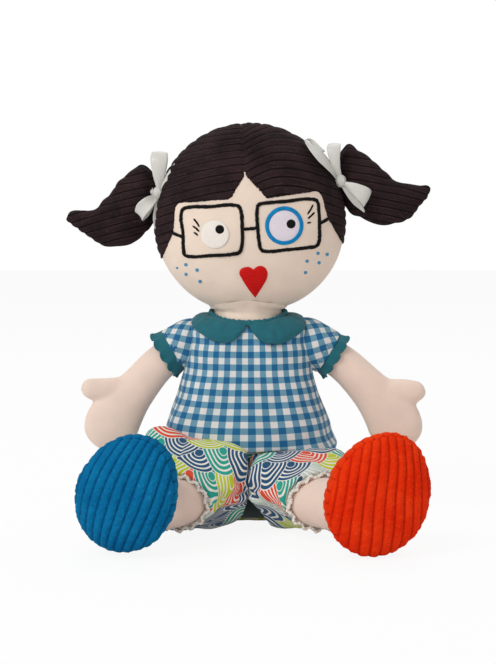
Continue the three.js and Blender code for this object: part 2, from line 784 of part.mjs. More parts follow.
// Head: the face panel is flush with the hair panels, which cover the rest of the stuffing
const headSkin = headForm(0);
const stuffing = headForm(-hairThickness - seamGap);
const rootSpaces = bothSides.map(([, sign]) => pigtailBall(sign, swivelGap));
const neckRecess = uprightCylinder(
  neckRadius + swivelGap, headHeight - chinDepth - overrun, neckTopHeight + seamGap);
let headBody = stuffing.add(headSkin.intersect(faceRegion(0)));
let hair = headSkin.subtract(headForm(-hairThickness)).subtract(faceRegion(1.5 * seamGap));
for (const space of rootSpaces) {
  headBody = headBody.subtract(space);
  hair = hair.subtract(space);
}
addPiece('head_body', inHead(headBody).subtract(neckRecess), skinColour);
const hairFront = hair.intersect(beyondY(faceSeamPlace, -1));
for (const [side, sign] of bothSides) {
  const half = hairFront.intersect(beyondX(faceMiddle + sign * seamGap / 2, sign));
  addPiece(`hair_front_${side}`, inHead(half), hairColour);
}
addPiece('hair_back', inHead(hair.intersect(beyondY(faceSeamPlace + seamGap, 1))), hairColour);

// Embroidery: outlines laid on the face as one thin layer of thread
const threadLayer = headForm(seamGap + stitchHeight).subtract(headForm(seamGap))
  .intersect(beyondY(0, -1));

function embroider(name, solid, colour, roughness) {
  addPiece(name, inHead(solid.intersect(threadLayer)), colour, roughness);
}

function roundedOutline(x, y, halfWidth, halfHeight, radius) {
  const shape = new THREE.Shape();
  const corners = [[1, -1, -90], [1, 1, 0], [-1, 1, 90], [-1, -1, 180]];
  corners.forEach(([sideways, upward, from]) => {
    shape.absarc(x + sideways * (halfWidth - radius), y + upward * (halfHeight - radius),
      radius, degrees(from), degrees(from + 90), false);
  });
  return shape;
}

function stroke(x0, y0, x1, y1) {
  const along = new THREE.Vector2(x1 - x0, y1 - y0).normalize().multiplyScalar(threadWidth / 2);
  return throughFront(new THREE.Shape([
    new THREE.Vector2(x0 - along.y, y0 + along.x), new THREE.Vector2(x1 - along.y, y1 + along.x),
    new THREE.Vector2(x1 + along.y, y1 - along.x), new THREE.Vector2(x0 + along.y, y0 - along.x),
  ]), -reach, 0);
}

const disc = (x, y, radius) => {
  const shape = new THREE.Shape();
  shape.absarc(x, y, radius, 0, 2 * Math.PI, false);
  return throughFront(shape, -reach, 0, 6);
};

let glasses = stroke(-lensSide + lensHalfWidth, lensUp, lensSide - lensHalfWidth, lensUp);
for (const [, sign] of bothSides) {
  const half = threadWidth / 2;
  const outer = roundedOutline(
    sign * lensSide, lensUp, lensHalfWidth + half, lensHalfHeight + half, lensCornerRadius + half);
  const inner = roundedOutline(
    sign * lensSide, lensUp, lensHalfWidth - half, lensHalfHeight - half, lensCornerRadius - half);
  const lens = throughFront(outer, -reach, 0).subtract(throughFront(inner, -reach, 0));
  const edge = lensSide + lensHalfWidth;
  const temple = stroke(sign * edge, lensUp - threadWidth, sign * edge * 1.15, lensUp + threadWidth / 2);
  glasses = glasses.add(lens).add(temple);
}
embroider('glasses_stitching', glasses, threadColour, 0.6);

for (const [side, sign] of bothSides) {
  const x = faceMiddle + sign * eyeSide;
  const hasRing = sign > 0;
  const whiteRadius = hasRing ? ringRadius - ringWidth - seamGap : eyeRadius;
  const pupil = disc(x + pupilSide, eyeUp + pupilUp, pupilRadius);
  const pupilHole = disc(x + pupilSide, eyeUp + pupilUp, pupilRadius + seamGap);
  embroider(`eye_white_${side}`, disc(x, eyeUp, whiteRadius).subtract(pupilHole), whiteColour, 0.5);
  embroider(`pupil_${side}`, pupil, threadColour, 0.5);
  if (hasRing) {
    const ring = disc(x, eyeUp, ringRadius).subtract(disc(x, eyeUp, ringRadius - ringWidth));
    embroider(`eye_ring_${side}`, ring, ringColour, 0.5);
  }
}

function heartShape() {
  const [half, tall] = [heartHalfWidth, heartHeight];
  const [x, tip, dip] = [faceMiddle, heartUp - tall / 2, heartUp + tall * 0.36];
  const shape = new THREE.Shape();
  shape.moveTo(x, tip);
  shape.bezierCurveTo(x + half * 0.5, tip + tall * 0.3, x + half, heartUp, x + half, heartUp + tall * 0.22);
  shape.bezierCurveTo(x + half, heartUp + tall * 0.56, x + half * 0.15, heartUp + tall * 0.62, x, dip);
  shape.bezierCurveTo(x - half * 0.15, heartUp + tall * 0.62, x - half, heartUp + tall * 0.56,
    x - half, heartUp + tall * 0.22);
  shape.bezierCurveTo(x - half, heartUp, x - half * 0.5, tip + tall * 0.3, x, tip);
  return shape;
}

embroider('mouth_heart', throughFront(heartShape(), -reach, 0), heartColour, 0.5);

// A ribbon piece is cut from an outline along its length and laid facing the front
function layRibbon(shape, start, along, width) {
  const geometry = new THREE.ExtrudeGeometry(shape, { depth: width, bevelEnabled: false, curveSegments: 5 });
  geometry.translate(0, 0, -width / 2);
  const forward = yAxis.clone().addScaledVector(along, -along.y).normalize();
  geometry.applyMatrix4(new THREE.Matrix4().makeBasis(along, forward, along.clone().cross(forward)));
  geometry.translate(start.x, start.y, start.z);
  return solidOf(geometry);
}

// The edge view of a bow's loop: narrow at the knot and round at its far end
function loopShape(length) {
  const edge = (inset, isHole) => Array.from({ length: 10 }, (_, i) => {
    const turn = 2 * Math.PI * i / 10 * (isHole ? -1 : 1);
    const far = inset + (length - 2 * inset) * (1 - Math.cos(turn)) / 2;
    const half = loopFatness / 2 * (0.35 + 0.65 * far / length) - inset;
    return new THREE.Vector2(far, half * Math.sin(turn));
  });
  const shape = new THREE.Shape(edge(0, false));
  shape.holes.push(new THREE.Path(edge(ribbonThickness, true)));
  return shape;
}

// The face view of a ribbon's tail, with a slanted end
function tailSolid(start, along, length) {
  const half = ribbonWidth / 2;
  const shape = new THREE.Shape([
    new THREE.Vector2(0, -half * 0.5), new THREE.Vector2(length * 0.5, -half),
    new THREE.Vector2(length, -half), new THREE.Vector2(length - half, half),
    new THREE.Vector2(length * 0.5, half * 0.9), new THREE.Vector2(0, half * 0.5),
  ]);
  const geometry = new THREE.ExtrudeGeometry(shape, { depth: ribbonThickness, bevelEnabled: false });
  const forward = yAxis.clone().addScaledVector(along, -along.y).normalize();
  const across = forward.clone().cross(along);
  geometry.applyMatrix4(new THREE.Matrix4().makeBasis(along, across, along.clone().cross(across)));
  geometry.translate(start.x, start.y, start.z);
  return solidOf(geometry);
}

// Pigtails, each with its ribbon, swing as one from a ball in the side of the head
for (const [side, sign] of bothSides) {
  const root = pigtailRootAt(sign);
  const turnedBack = [-pigtailLimits[1], -pigtailLimits[0]];
  const headPath = sweptSpace(headForm(swivelGap), root, liftAxis(sign), turnedBack, 2);
  const pigtail = pigtailForm(sign, 0).subtract(headPath).add(pigtailBall(sign, 0));
  addPiece(`pigtail_${side}`, inHead(pigtail), hairColour);

  const bandInner = pigtailShares[1][2] * pigtailHalfWidth;
  const outward = toSide(sign, 1, 0, 0);
  const band = bandForm(root.clone().addScaledVector(outward, bandStart), outward, 12, () => [
    [bandInner - ribbonThickness, 0], [bandInner + seamGap + ribbonThickness, 0],
    [bandInner + seamGap + ribbonThickness, bandWidth], [bandInner - ribbonThickness, bandWidth],
  ]).subtract(pigtailForm(sign, seamGap)).subtract(pigtailBall(sign, seamGap));
  addPiece(`ribbon_band_${side}`, inHead(band), ribbonColour, 0.6);

  const knotPlace = -(bandInner + ribbonThickness + 2 * seamGap + knotRadius);
  const knotCentre = root.clone().add(toSide(sign, bandStart + bandWidth / 2, knotPlace, 0));
  addPiece(`ribbon_knot_${side}`, inHead(ball(knotCentre, knotRadius, zAxis, 8)), ribbonColour, 0.6);

  const fromKnot = (along) => knotCentre.clone().addScaledVector(along, knotRadius + seamGap);
  const upLoop = toSide(sign, -0.22, -0.15, 0.96).normalize();
  const outLoop = toSide(sign, 0.85, -0.42, -0.3).normalize();
  const tailWay = toSide(sign, 0.4, -0.2, -1).normalize();
  const tailStart = knotCentre.clone().addScaledVector(yAxis, -knotRadius - 2 * seamGap - ribbonThickness);
  addPiece(`ribbon_loop_upper_${side}`,
    inHead(layRibbon(loopShape(loopLength), fromKnot(upLoop), upLoop, ribbonWidth)), ribbonColour, 0.6);
  addPiece(`ribbon_loop_outer_${side}`,
    inHead(layRibbon(loopShape(outerLoopLength), fromKnot(outLoop), outLoop, ribbonWidth)), ribbonColour, 0.6);
  addPiece(`ribbon_tail_${side}`, inHead(tailSolid(tailStart, tailWay, tailLength)), ribbonColour, 0.6);
}

// Arms in their sleeves, and legs in the legs of the shorts
for (const [side, sign] of bothSides) {
  const arm = armForm(sign, 0);
  const armInCloth = armForm(sign, seamGap);
  addPiece(`arm_${side}`, arm, skinColour);
  addPiece(`sleeve_${side}`, sleeveForm(sign, 0).subtract(armInCloth), ginghamColour);
  addPiece(`cuff_${side}`, cuffForm(sign, 0).subtract(armInCloth), tealColour);

  const leg = legForm(sign, 0).subtract(footForm(sign, seamGap));
  const legInCloth = legForm(sign, seamGap);
  addPiece(`leg_${side}`, leg, skinColour);
  addPiece(`foot_${side}`, footForm(sign, 0), sign < 0 ? rightFootColour : leftFootColour);
  addPiece(`shorts_leg_${side}`, shortsLegForm(sign, 0).subtract(legInCloth), printColour);
  addPiece(`lace_frill_${side}`, laceForm(sign, 0).subtract(legInCloth), laceColour);
}

export default doll;
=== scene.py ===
import bpy
import bmesh
import math
import numpy as np
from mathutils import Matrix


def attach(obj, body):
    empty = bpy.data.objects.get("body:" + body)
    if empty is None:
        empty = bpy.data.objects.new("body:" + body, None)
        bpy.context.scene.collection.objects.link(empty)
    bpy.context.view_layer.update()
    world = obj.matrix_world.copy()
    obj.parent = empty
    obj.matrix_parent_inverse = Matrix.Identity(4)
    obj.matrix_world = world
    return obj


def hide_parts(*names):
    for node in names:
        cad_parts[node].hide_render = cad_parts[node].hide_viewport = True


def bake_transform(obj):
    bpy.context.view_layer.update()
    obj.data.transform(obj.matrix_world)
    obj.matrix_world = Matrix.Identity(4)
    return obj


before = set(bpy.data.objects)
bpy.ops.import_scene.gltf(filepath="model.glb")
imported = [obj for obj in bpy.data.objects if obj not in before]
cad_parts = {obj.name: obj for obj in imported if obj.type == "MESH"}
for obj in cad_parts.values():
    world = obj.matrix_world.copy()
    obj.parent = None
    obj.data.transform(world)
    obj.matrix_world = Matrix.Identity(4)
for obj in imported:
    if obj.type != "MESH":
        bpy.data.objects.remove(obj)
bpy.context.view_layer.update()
print("doll: frame loaded")

# Helpers for sewn shapes: lengths are in millimetres, cloth coordinates in centimetres
millimetre = 0.001
toCloth = 0.1
straightUp = np.array([0, 0, 1.0])
sides = (("right", -1), ("left", 1))  # the doll's own, with the sign of their x
wobble = np.random.default_rng(11)  # unevenness of stitches and cut edges


def unit(v):
    v = np.asarray(v, float)
    return v / np.maximum(np.linalg.norm(v, axis=-1, keepdims=True), 1e-9)


def smoothStep(x, low, high):
    s = np.clip((np.asarray(x, float) - low) / (high - low), 0, 1)
    return s * s * (3 - 2 * s)


def hump(x, middle, width):  # 1 at its middle, and fading to both sides
    return np.exp(-((x - middle) / width) ** 2)


def roundedEdge(inset, width):  # rises like a quarter circle from a cloth's edge
    return np.sqrt(1 - (1 - np.clip(inset / width, 0, 1)) ** 2)


def fullTurn(count):
    return np.linspace(0, 2 * math.pi, count, endpoint=False)


def signedPower(x, power):  # turns a circle's sine and cosine into those of a squarer or flatter one
    return np.sign(x) * np.abs(x) ** power


def squeezed(x, limit, share):  # below the limit, only a share of the way is left
    return np.where(x < limit, limit - (limit - x) * share, x)


def through(shares, values, at):  # smooth curve through values at the given shares
    shares, values, at = np.asarray(shares, float), np.asarray(values, float), np.asarray(at, float)
    if values.ndim == 1:
        return through(shares, values[:, None], at)[..., 0]
    slope = np.gradient(values, shares, axis=0)
    k = np.clip(np.searchsorted(shares, at, side="right") - 1, 0, len(shares) - 2)
    h = shares[k + 1] - shares[k]
    s = np.clip((at - shares[k]) / h, 0, 1)[..., None]
    h = h[..., None]
    return ((1 + 2 * s) * (1 - s) ** 2 * values[k] + s * (1 - s) ** 2 * h * slope[k]
            + s * s * (3 - 2 * s) * values[k + 1] - s * s * (1 - s) * h * slope[k + 1])


def runOf(points, axis=0):  # how far each point lies along its row of points
    return np.insert(np.cumsum(np.linalg.norm(np.diff(points, axis=axis), axis=-1), axis=axis), 0, 0, axis=axis)


def between(at, run, points):  # places at given lengths of a path
    return np.stack([np.interp(at, run, column) for column in points.T], 1)


def alongPath(points, count, closed=False):  # evenly spaced points on a smooth path, and its length
    points = np.asarray(points, float)
    if closed:
        points = np.concatenate([points[-2:], points, points[:3]])
    steps = runOf(points)
    low, high = (steps[2], steps[-3]) if closed else (0, steps[-1])
    fine = through(steps, points, np.linspace(low, high, 1200))
    run = runOf(fine)
    return between(np.linspace(0, run[-1], count + closed)[:count], run, fine), run[-1]


def softNoise(places, size, seed=0):  # smooth repeatable unevenness from -1 to 1
    gen = np.random.default_rng(seed)
    total = np.zeros(places.shape[:-1])
    for _ in range(7):
        way = unit(gen.normal(size=3)) * gen.uniform(0.7, 1.6) * 2 * math.pi / size
        total += np.sin(places @ way + gen.uniform(0, 6.28))
    return total / 3.5


def clothAt(across, down):  # cloth coordinates of a grid
    return np.stack(np.broadcast_arrays(across, down), -1)


def closedCloth(cloth):  # the first column again at the end of each row
    return np.concatenate([cloth, cloth[:, :1]], 1)


def surface(points, cloth=None, around=False, along=False):  # a grid of points as one sheet
    n, m = points.shape[:2]
    i, j = np.meshgrid(np.arange(n if along else n - 1), np.arange(m if around else m - 1), indexing="ij")
    i2, j2 = (i + 1) % n, (j + 1) % m
    faces = np.stack([i * m + j, i * m + j2, i2 * m + j2, i2 * m + j], -1).reshape(-1, 4)
    if cloth is None:
        cloth = np.zeros((n + along, m + around, 2))
    w = cloth.shape[1]
    corners = np.stack([i * w + j, i * w + j + 1, (i + 1) * w + j + 1, (i + 1) * w + j], -1).reshape(-1, 4)
    return points.reshape(-1, 3), faces, cloth.reshape(-1, 2)[corners]


def normalsOf(points, around=False, along=False):
    du = np.roll(points, -1, 1) - np.roll(points, 1, 1) if around else np.gradient(points, axis=1)
    dv = np.roll(points, -1, 0) - np.roll(points, 1, 0) if along else np.gradient(points, axis=0)
    return unit(np.cross(du, dv))


def turnedOut(normals, outward):  # normals turned to the outer side
    return np.where(np.sum(normals * outward, -1, keepdims=True) < 0, -normals, normals)


def ball(rows, columns):  # heights and turns of a round grid
    return np.meshgrid(np.linspace(-math.pi / 2, math.pi / 2, rows), fullTurn(columns), indexing="ij")


def addObject(name, data):
    made = bpy.data.objects.new(name, data)
    bpy.context.scene.collection.objects.link(made)
    return made


def joinedMesh(name, parts):  # several sheets as one mesh, in metres
    starts = np.cumsum([0] + [len(points) for points, _, _ in parts])
    mesh = bpy.data.meshes.new(name)
    mesh.from_pydata((np.concatenate([points for points, _, _ in parts]) * millimetre).tolist(), [],
                     np.concatenate([faces + start for (_, faces, _), start in zip(parts, starts)]).tolist())
    return mesh


def weldSeams(mesh, turnOut=False):  # meeting edges become one, and slivers go
    work = bmesh.new()
    work.from_mesh(mesh)
    bmesh.ops.remove_doubles(work, verts=work.verts, dist=2e-6)
    bmesh.ops.dissolve_degenerate(work, edges=work.edges, dist=1e-7)
    if turnOut:
        bmesh.ops.recalc_face_normals(work, faces=work.faces)
    work.to_mesh(mesh)
    work.free()


def dress(name, mesh, material, body, nodes=(), thick=0, inward=-1.0):  # a ready mesh as a piece
    mesh.materials.clear()
    mesh.materials.append(material)
    mesh.shade_smooth()
    piece = addObject(name, mesh)
    if thick:
        sheet = piece.modifiers.new("clothThickness", "SOLIDIFY")
        sheet.thickness = thick * millimetre
        sheet.offset = inward
    if body:
        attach(piece, body)
    if nodes:
        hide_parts(*nodes)
    return piece


def makePiece(name, parts, material, body, nodes=(), thick=0, flip=False, inward=-1.0):
    if flip:
        parts = [(points, faces[:, ::-1], corners[:, ::-1]) for points, faces, corners in parts]
    mesh = joinedMesh(name, parts)
    mesh.uv_layers.new(name="cloth").data.foreach_set("uv",
                                                      np.concatenate([c for _, _, c in parts]).reshape(-1))
    weldSeams(mesh)
    return dress(name, mesh, material, body, nodes, thick, inward)


def tube(path, radius, around=8, closed=False, up=(0, 0, 1)):  # round cord along a path
    path = np.asarray(path, float)
    radius = np.broadcast_to(radius, len(path))[:, None, None]
    run = unit((np.roll(path, -1, 0) - np.roll(path, 1, 0)) if closed else np.gradient(path, axis=0))
    side = unit(np.cross(run, np.broadcast_to(up, run.shape)))
    other = np.cross(side, run)
    turn = fullTurn(around)[None, :, None]
    points = path[:, None] + radius * (np.cos(turn) * side[:, None] + np.sin(turn) * other[:, None])
    far = runOf(np.concatenate([path, path[:1]]) if closed else path)
    if not closed:
        points[0], points[-1] = path[0], path[-1]
    return surface(points, clothAt(far[:, None] * toCloth, np.linspace(0, 1, around + 1)[None]), True, closed)


def stuffedTube(stations, side, rows, around, startCap, endCap, fullness=2.0):
    # stations of x, y, z, half width and half thickness; returns the grid and the length at each row
    stations = np.asarray(stations, float)
    steps = np.diff(stations[:, :3], axis=0)
    steps = np.insert(np.cumsum(np.linalg.norm(steps, axis=1) ** 0.5), 0, 0)
    fine = through(steps, stations, np.linspace(0, steps[-1], 600))
    run = runOf(fine[:, :3])
    length = run[-1]
    ease = 1 - np.cos(np.linspace(0, math.pi / 2, 9))
    at = np.concatenate([startCap * ease[:-1], np.linspace(startCap, length - endCap, rows),
                         (length - endCap * ease[:-1])[::-1]])
    row = between(at, run, fine)
    tangent = unit(between(at, run, np.gradient(fine[:, :3], run, axis=0)))
    rounding = roundedEdge(at, startCap) * roundedEdge(length - at, endCap)
    side = np.asarray(side, float)
    upward = unit(side - tangent * (tangent @ side)[:, None])
    across = np.cross(tangent, upward)
    turn = fullTurn(around)
    c, s = signedPower(np.cos(turn), 2 / fullness), signedPower(np.sin(turn), 2 / fullness)
    grid = (row[:, None, :3] + across[:, None] * (row[:, 3] * rounding)[:, None, None] * c[None, :, None]
            + upward[:, None] * (row[:, 4] * rounding)[:, None, None] * s[None, :, None])
    return grid, at


def ribs(coordinate, pitch, sharpness=0.55):  # the round cords of corduroy, from 0 in the valley to 1
    return np.abs(np.sin(math.pi * coordinate / pitch)) ** sharpness


def meshOf(piece, name="skin"):  # the mesh with its modifiers applied; the object goes
    made = bpy.data.meshes.new_from_object(piece.evaluated_get(bpy.context.evaluated_depsgraph_get()))
    bpy.data.objects.remove(piece)
    made.name = name
    return made


def blended(parts, voxel, smoothing, name):  # one skin round several closed forms
    mesh = joinedMesh(name, parts)
    weldSeams(mesh, turnOut=True)
    piece = addObject(name, mesh)
    skin = piece.modifiers.new("skin", "REMESH")
    skin.mode, skin.voxel_size, skin.use_smooth_shade = "VOXEL", voxel * millimetre, True
    ease = piece.modifiers.new("ease", "SMOOTH")
    ease.factor, ease.iterations = 0.5, smoothing
    return meshOf(piece, name)


def pointsOf(mesh):
    flat = np.empty(len(mesh.vertices) * 3)
    mesh.vertices.foreach_get("co", flat)
    return flat.reshape(-1, 3)


def puffUp(mesh, pressure, cap, held, frames=16):  # stuffing presses on the cloth, held where it is sewn on
    piece = addObject("puff", mesh)
    before = pointsOf(mesh)
    group = piece.vertex_groups.new(name="sewn")
    for index in np.flatnonzero(held(before / millimetre)):
        group.add([int(index)], 1.0, "ADD")
    cloth = piece.modifiers.new("stuffing", "CLOTH")
    cloth.settings.use_pressure = True
    cloth.settings.uniform_pressure_force = pressure
    cloth.settings.mass = 0.2
    cloth.settings.tension_stiffness = cloth.settings.compression_stiffness = 12
    cloth.settings.bending_stiffness = 0.6
    cloth.settings.effector_weights.gravity = 0
    cloth.settings.vertex_group_mass = "sewn"
    cloth.point_cache.frame_start, cloth.point_cache.frame_end = 1, frames
    for step in range(1, frames + 1):
        bpy.context.scene.frame_set(step)
    swollen = meshOf(piece, "puff")
    move = pointsOf(swollen) - before
    far = np.linalg.norm(move, axis=1, keepdims=True)
    move *= np.minimum(1, cap * millimetre / np.maximum(far, 1e-9))
    swollen.vertices.foreach_set("co", (before + move).reshape(-1))
    swollen.update()
    bpy.context.scene.frame_set(1)
    print("doll: stuffing moved the cloth by up to %.1f mm" % min(cap, far.max() / millimetre))
    return swollen


# Cloth finishes, made from nodes
def screenColour(red, green, blue):  # a colour as it is seen, from 0 to 255, for the shader
    def linear(v):
        v = v / 255
        return v / 12.92 if v <= 0.04045 else ((v + 0.055) / 1.055) ** 2.4
    return (linear(red), linear(green), linear(blue), 1)


class Finish:
    def __init__(self, name, colour, roughness=0.85, sheen=0.0, sheenTint=None, gloss=0.5):
        self.material = bpy.data.materials.new(name)
        self.material.use_nodes = True
        self.tree = self.material.node_tree
        self.shader = self.tree.nodes["Principled BSDF"]
        self.height = None
        for socket, value in (("Base Color", colour), ("Roughness", roughness), ("Specular IOR Level", gloss),
                              ("Sheen Weight", sheen), ("Sheen Roughness", 0.45)):
            self.shader.inputs[socket].default_value = value
        if sheenTint:
            self.shader.inputs["Sheen Tint"].default_value = sheenTint

    def feed(self, socket, value):
        if hasattr(value, "is_output"):
            self.tree.links.new(value, socket)
        else:
            socket.default_value = value

    def add(self, kind, **sockets):
        made = self.tree.nodes.new(kind)
        for key, value in sockets.items():
            self.feed(made.inputs[key.replace("_", " ")], value)
        return made

    def calc(self, operation, *values):
        made = self.tree.nodes.new("ShaderNodeMath")
        made.operation = operation
        for index, value in enumerate(values):
            self.feed(made.inputs[index], value)
        return made.outputs[0]

    def cloth(self):  # across and down the cloth, in centimetres
        place = self.tree.nodes.new("ShaderNodeUVMap")
        place.uv_map = "cloth"
        parts = self.add("ShaderNodeSeparateXYZ", Vector=place.outputs[0])
        return parts.outputs[0], parts.outputs[1]

    def noise(self, scale, detail=2.0):
        place = self.tree.nodes.new("ShaderNodeTexCoord").outputs["Object"]
        return self.add("ShaderNodeTexNoise", Vector=place, Scale=scale, Detail=detail).outputs[0]

    def blend(self, share, first, second, kind="MIX"):
        made = self.tree.nodes.new("ShaderNodeMix")
        made.data_type, made.blend_type = "RGBA", kind
        for index, value in ((0, share), (6, first), (7, second)):
            self.feed(made.inputs[index], value)
        return made.outputs[2]

    def range(self, value, low, high, newLow, newHigh):
        made = self.tree.nodes.new("ShaderNodeMapRange")
        for index, item in enumerate((value, low, high, newLow, newHigh)):
            self.feed(made.inputs[index], item)
        return made.outputs[0]

    def wave(self, coordinate, pitch):  # a sine along the cloth, its pitch in millimetres
        return self.calc("SINE", self.calc("MULTIPLY", coordinate, 2 * math.pi / (pitch * toCloth)))

    def shade(self, colour):
        self.feed(self.shader.inputs["Base Color"], colour)

    def mottle(self, colour, scale, low, high):  # the dye is a little lighter and darker in patches
        light = self.range(self.noise(scale, 3), 0.3, 0.7, low, high)
        self.shade(self.blend(1.0, colour, light, "MULTIPLY"))

    def relief(self, height, depth, strength=1.0):
        made = self.add("ShaderNodeBump", Height=height, Strength=strength, Distance=depth * millimetre)
        if self.height is not None:
            self.tree.links.new(self.height, made.inputs["Normal"])
        self.height = made.outputs[0]
        self.feed(self.shader.inputs["Normal"], self.height)

    def threads(self, pitch, depth):  # plain weave
        across, down = self.cloth()
        self.relief(self.calc("MULTIPLY", self.wave(across, pitch), self.wave(down, pitch)), depth, 0.5)


def plainCloth(name, colour, spread=0.06, sheen=0.15, weave=0.5, depth=0.07):
    # woven cotton whose colour varies a little
    made = Finish(name, colour, 0.9, sheen)
    made.mottle(colour, 60, 1 - spread, 1 + spread)
    made.relief(made.noise(900, 2), depth, 0.5)
    made.relief(made.noise(110, 3), 0.5, 0.35)
    if weave:
        made.threads(weave, depth)
    return made.material


def brightened(colour, share, extra=0.0):
    return [min(1.0, share * c + extra) for c in colour[:3]] + [1.0]


def corduroy(name, grooveShade, crown, tips, pitch, sheen, rim=0.0, outline=None):
    # pile ribs: valleys darkened with painted shade, lighter crowns with ragged painted highlights along the
    # cord edges, scattered bright tips, and a painted sheen towards the silhouette
    made = Finish(name, crown, 0.95, sheen, tips, 0.1)
    _, down = made.cloth()
    rib = made.calc("ABSOLUTE", made.calc("SINE", made.calc("MULTIPLY", down, math.pi / (pitch * toCloth))))
    ragged = made.noise(1600, 4)
    rib = made.calc("ADD", rib, made.calc("MULTIPLY", made.calc("SUBTRACT", ragged, 0.5), 0.6))
    pile = made.blend(made.range(made.noise(55, 4), 0.35, 0.7, 0.0, 1.0), crown, tips)
    pile = made.blend(made.range(made.noise(520, 2), 0.6, 0.74, 0.0, 0.35), pile, brightened(tips, 1.9, 0.02))
    # the grooves between the cords take the valley colour: painted shade
    pile = made.blend(made.range(rib, 0.02, 0.5, 0.0, 1.0), grooveShade, pile)
    # ragged painted highlights along the edges of each cord, in patches
    if rim:
        off = made.calc("ABSOLUTE", made.calc("MULTIPLY", made.calc("SUBTRACT", rib, 0.5), 6.0))
        edge = made.calc("MAXIMUM", made.calc("SUBTRACT", 1.0, off), 0.0)
        ridgeHighlightPatches = made.range(made.noise(90, 3), 0.4, 0.65, 0.0, rim)
        pile = made.blend(made.calc("MULTIPLY", edge, ridgeHighlightPatches), pile, brightened(tips, 2.2))
    # towards the silhouette the pile blends into the outline colour, and into the tips when no outline is given:
    # a painted sheen
    grazingSheen = made.range(made.add("ShaderNodeLayerWeight", Blend=0.5).outputs[1], 0.55, 0.98, 0.0, 0.55)
    made.shade(made.blend(grazingSheen, pile, outline or tips))
    made.relief(ragged, 0.5, 0.5)
    made.relief(made.noise(320, 3), 0.8, 0.5)
    return made.material


def satin(name, colour, stitch=0.5, roughness=0.38, depth=0.1, sheen=0.1, spread=0.1, gloss=0.5):
    # close shiny threads that run across the piece
    made = Finish(name, colour, roughness, sheen, None, gloss)
    made.mottle(colour, 260, 1 - spread, 1 + spread)
    made.relief(made.wave(made.cloth()[0], stitch), depth, 0.7)
    made.relief(made.noise(800, 2), 0.12, 0.4)
    return made.material


def gingham(name, dark, middle, pale, check=10.0):
    # even checks: dark where both threads are dyed, middle where one is
    made = Finish(name, middle, 0.85, 0.12)
    soft = made.calc("MULTIPLY", made.calc("SUBTRACT", made.noise(500, 2), 0.5), 0.02)

    def dyed(coordinate):
        wave = made.calc("FRACT", made.calc("ADD", made.calc("DIVIDE", coordinate, check * toCloth), soft))
        return made.range(made.calc("PINGPONG", wave, 0.5), 0.235, 0.265, 0.0, 1.0)

    u, v = made.cloth()
    across, down = dyed(u), dyed(v)
    twill = made.range(made.wave(made.calc("ADD", u, v), 0.7), -1.0, 1.0, 0.82, 1.0)
    colour = made.blend(made.calc("MAXIMUM", across, down), pale, made.blend(twill, pale, middle))
    colour = made.blend(made.calc("MULTIPLY", across, down), colour, dark)
    made.mottle(colour, 70, 0.93, 1.06)
    made.relief(made.noise(120, 3), 0.6, 0.4)
    made.threads(0.6, 0.07)
    return made.material


def scallopPrint(name, ground, inks, radius=17.0, rings=5, spacing=0.66, draw=5.13):
    # nested arcs in staggered rows, each fan in one of the inks, as on waves of cloth prints
    made = Finish(name, ground, 0.88, 0.1)
    u, v = made.cloth()
    size = radius * toCloth
    step = size * spacing
    first = made.calc("CEIL", made.calc("DIVIDE", made.calc("SUBTRACT", v, size), step))
    fans = []
    for number in range(4):
        row = made.calc("ADD", first, float(number))
        down = made.calc("SUBTRACT", v, made.calc("MULTIPLY", row, step))
        shifted = made.calc("SUBTRACT", u, made.calc("MULTIPLY", made.calc("FLOORED_MODULO", row, 2.0), size))
        column = made.calc("ROUND", made.calc("DIVIDE", shifted, 2 * size))
        across = made.calc("SUBTRACT", shifted, made.calc("MULTIPLY", column, 2 * size))
        squares = made.calc("ADD", made.calc("MULTIPLY", across, across), made.calc("MULTIPLY", down, down))
        far = made.calc("SQRT", squares)
        ring = made.calc("FRACT", made.calc("DIVIDE", far, size / rings))
        line = made.range(made.calc("PINGPONG", ring, 0.5), 0.17, 0.21, 0.0, 1.0)
        line = made.calc("MAXIMUM", line, made.calc("LESS_THAN", far, size * 0.2))
        mark = made.add("ShaderNodeCombineXYZ", X=column, Y=row, Z=draw)
        pick = made.add("ShaderNodeTexWhiteNoise", Vector=mark.outputs[0])
        ramp = made.add("ShaderNodeValToRGB", Fac=pick.outputs[0])
        ramp.color_ramp.interpolation = "CONSTANT"
        while len(ramp.color_ramp.elements) < len(inks):
            ramp.color_ramp.elements.new(0.5)
        for index, ink in enumerate(inks):
            ramp.color_ramp.elements[index].position = index / len(inks)
            ramp.color_ramp.elements[index].color = ink
        fans.append((made.calc("LESS_THAN", far, size), made.blend(line, ground, ramp.outputs[0])))
    colour = ground
    for inside, fan in reversed(fans):
        colour = made.blend(inside, colour, fan)
    made.mottle(colour, 70, 0.94, 1.05)
    made.relief(made.noise(100, 3), 0.7, 0.4)
    made.threads(0.6, 0.07)
    return made.material


def mixedInks(table):
    return {name: screenColour(*values) for name, values in table.items()}


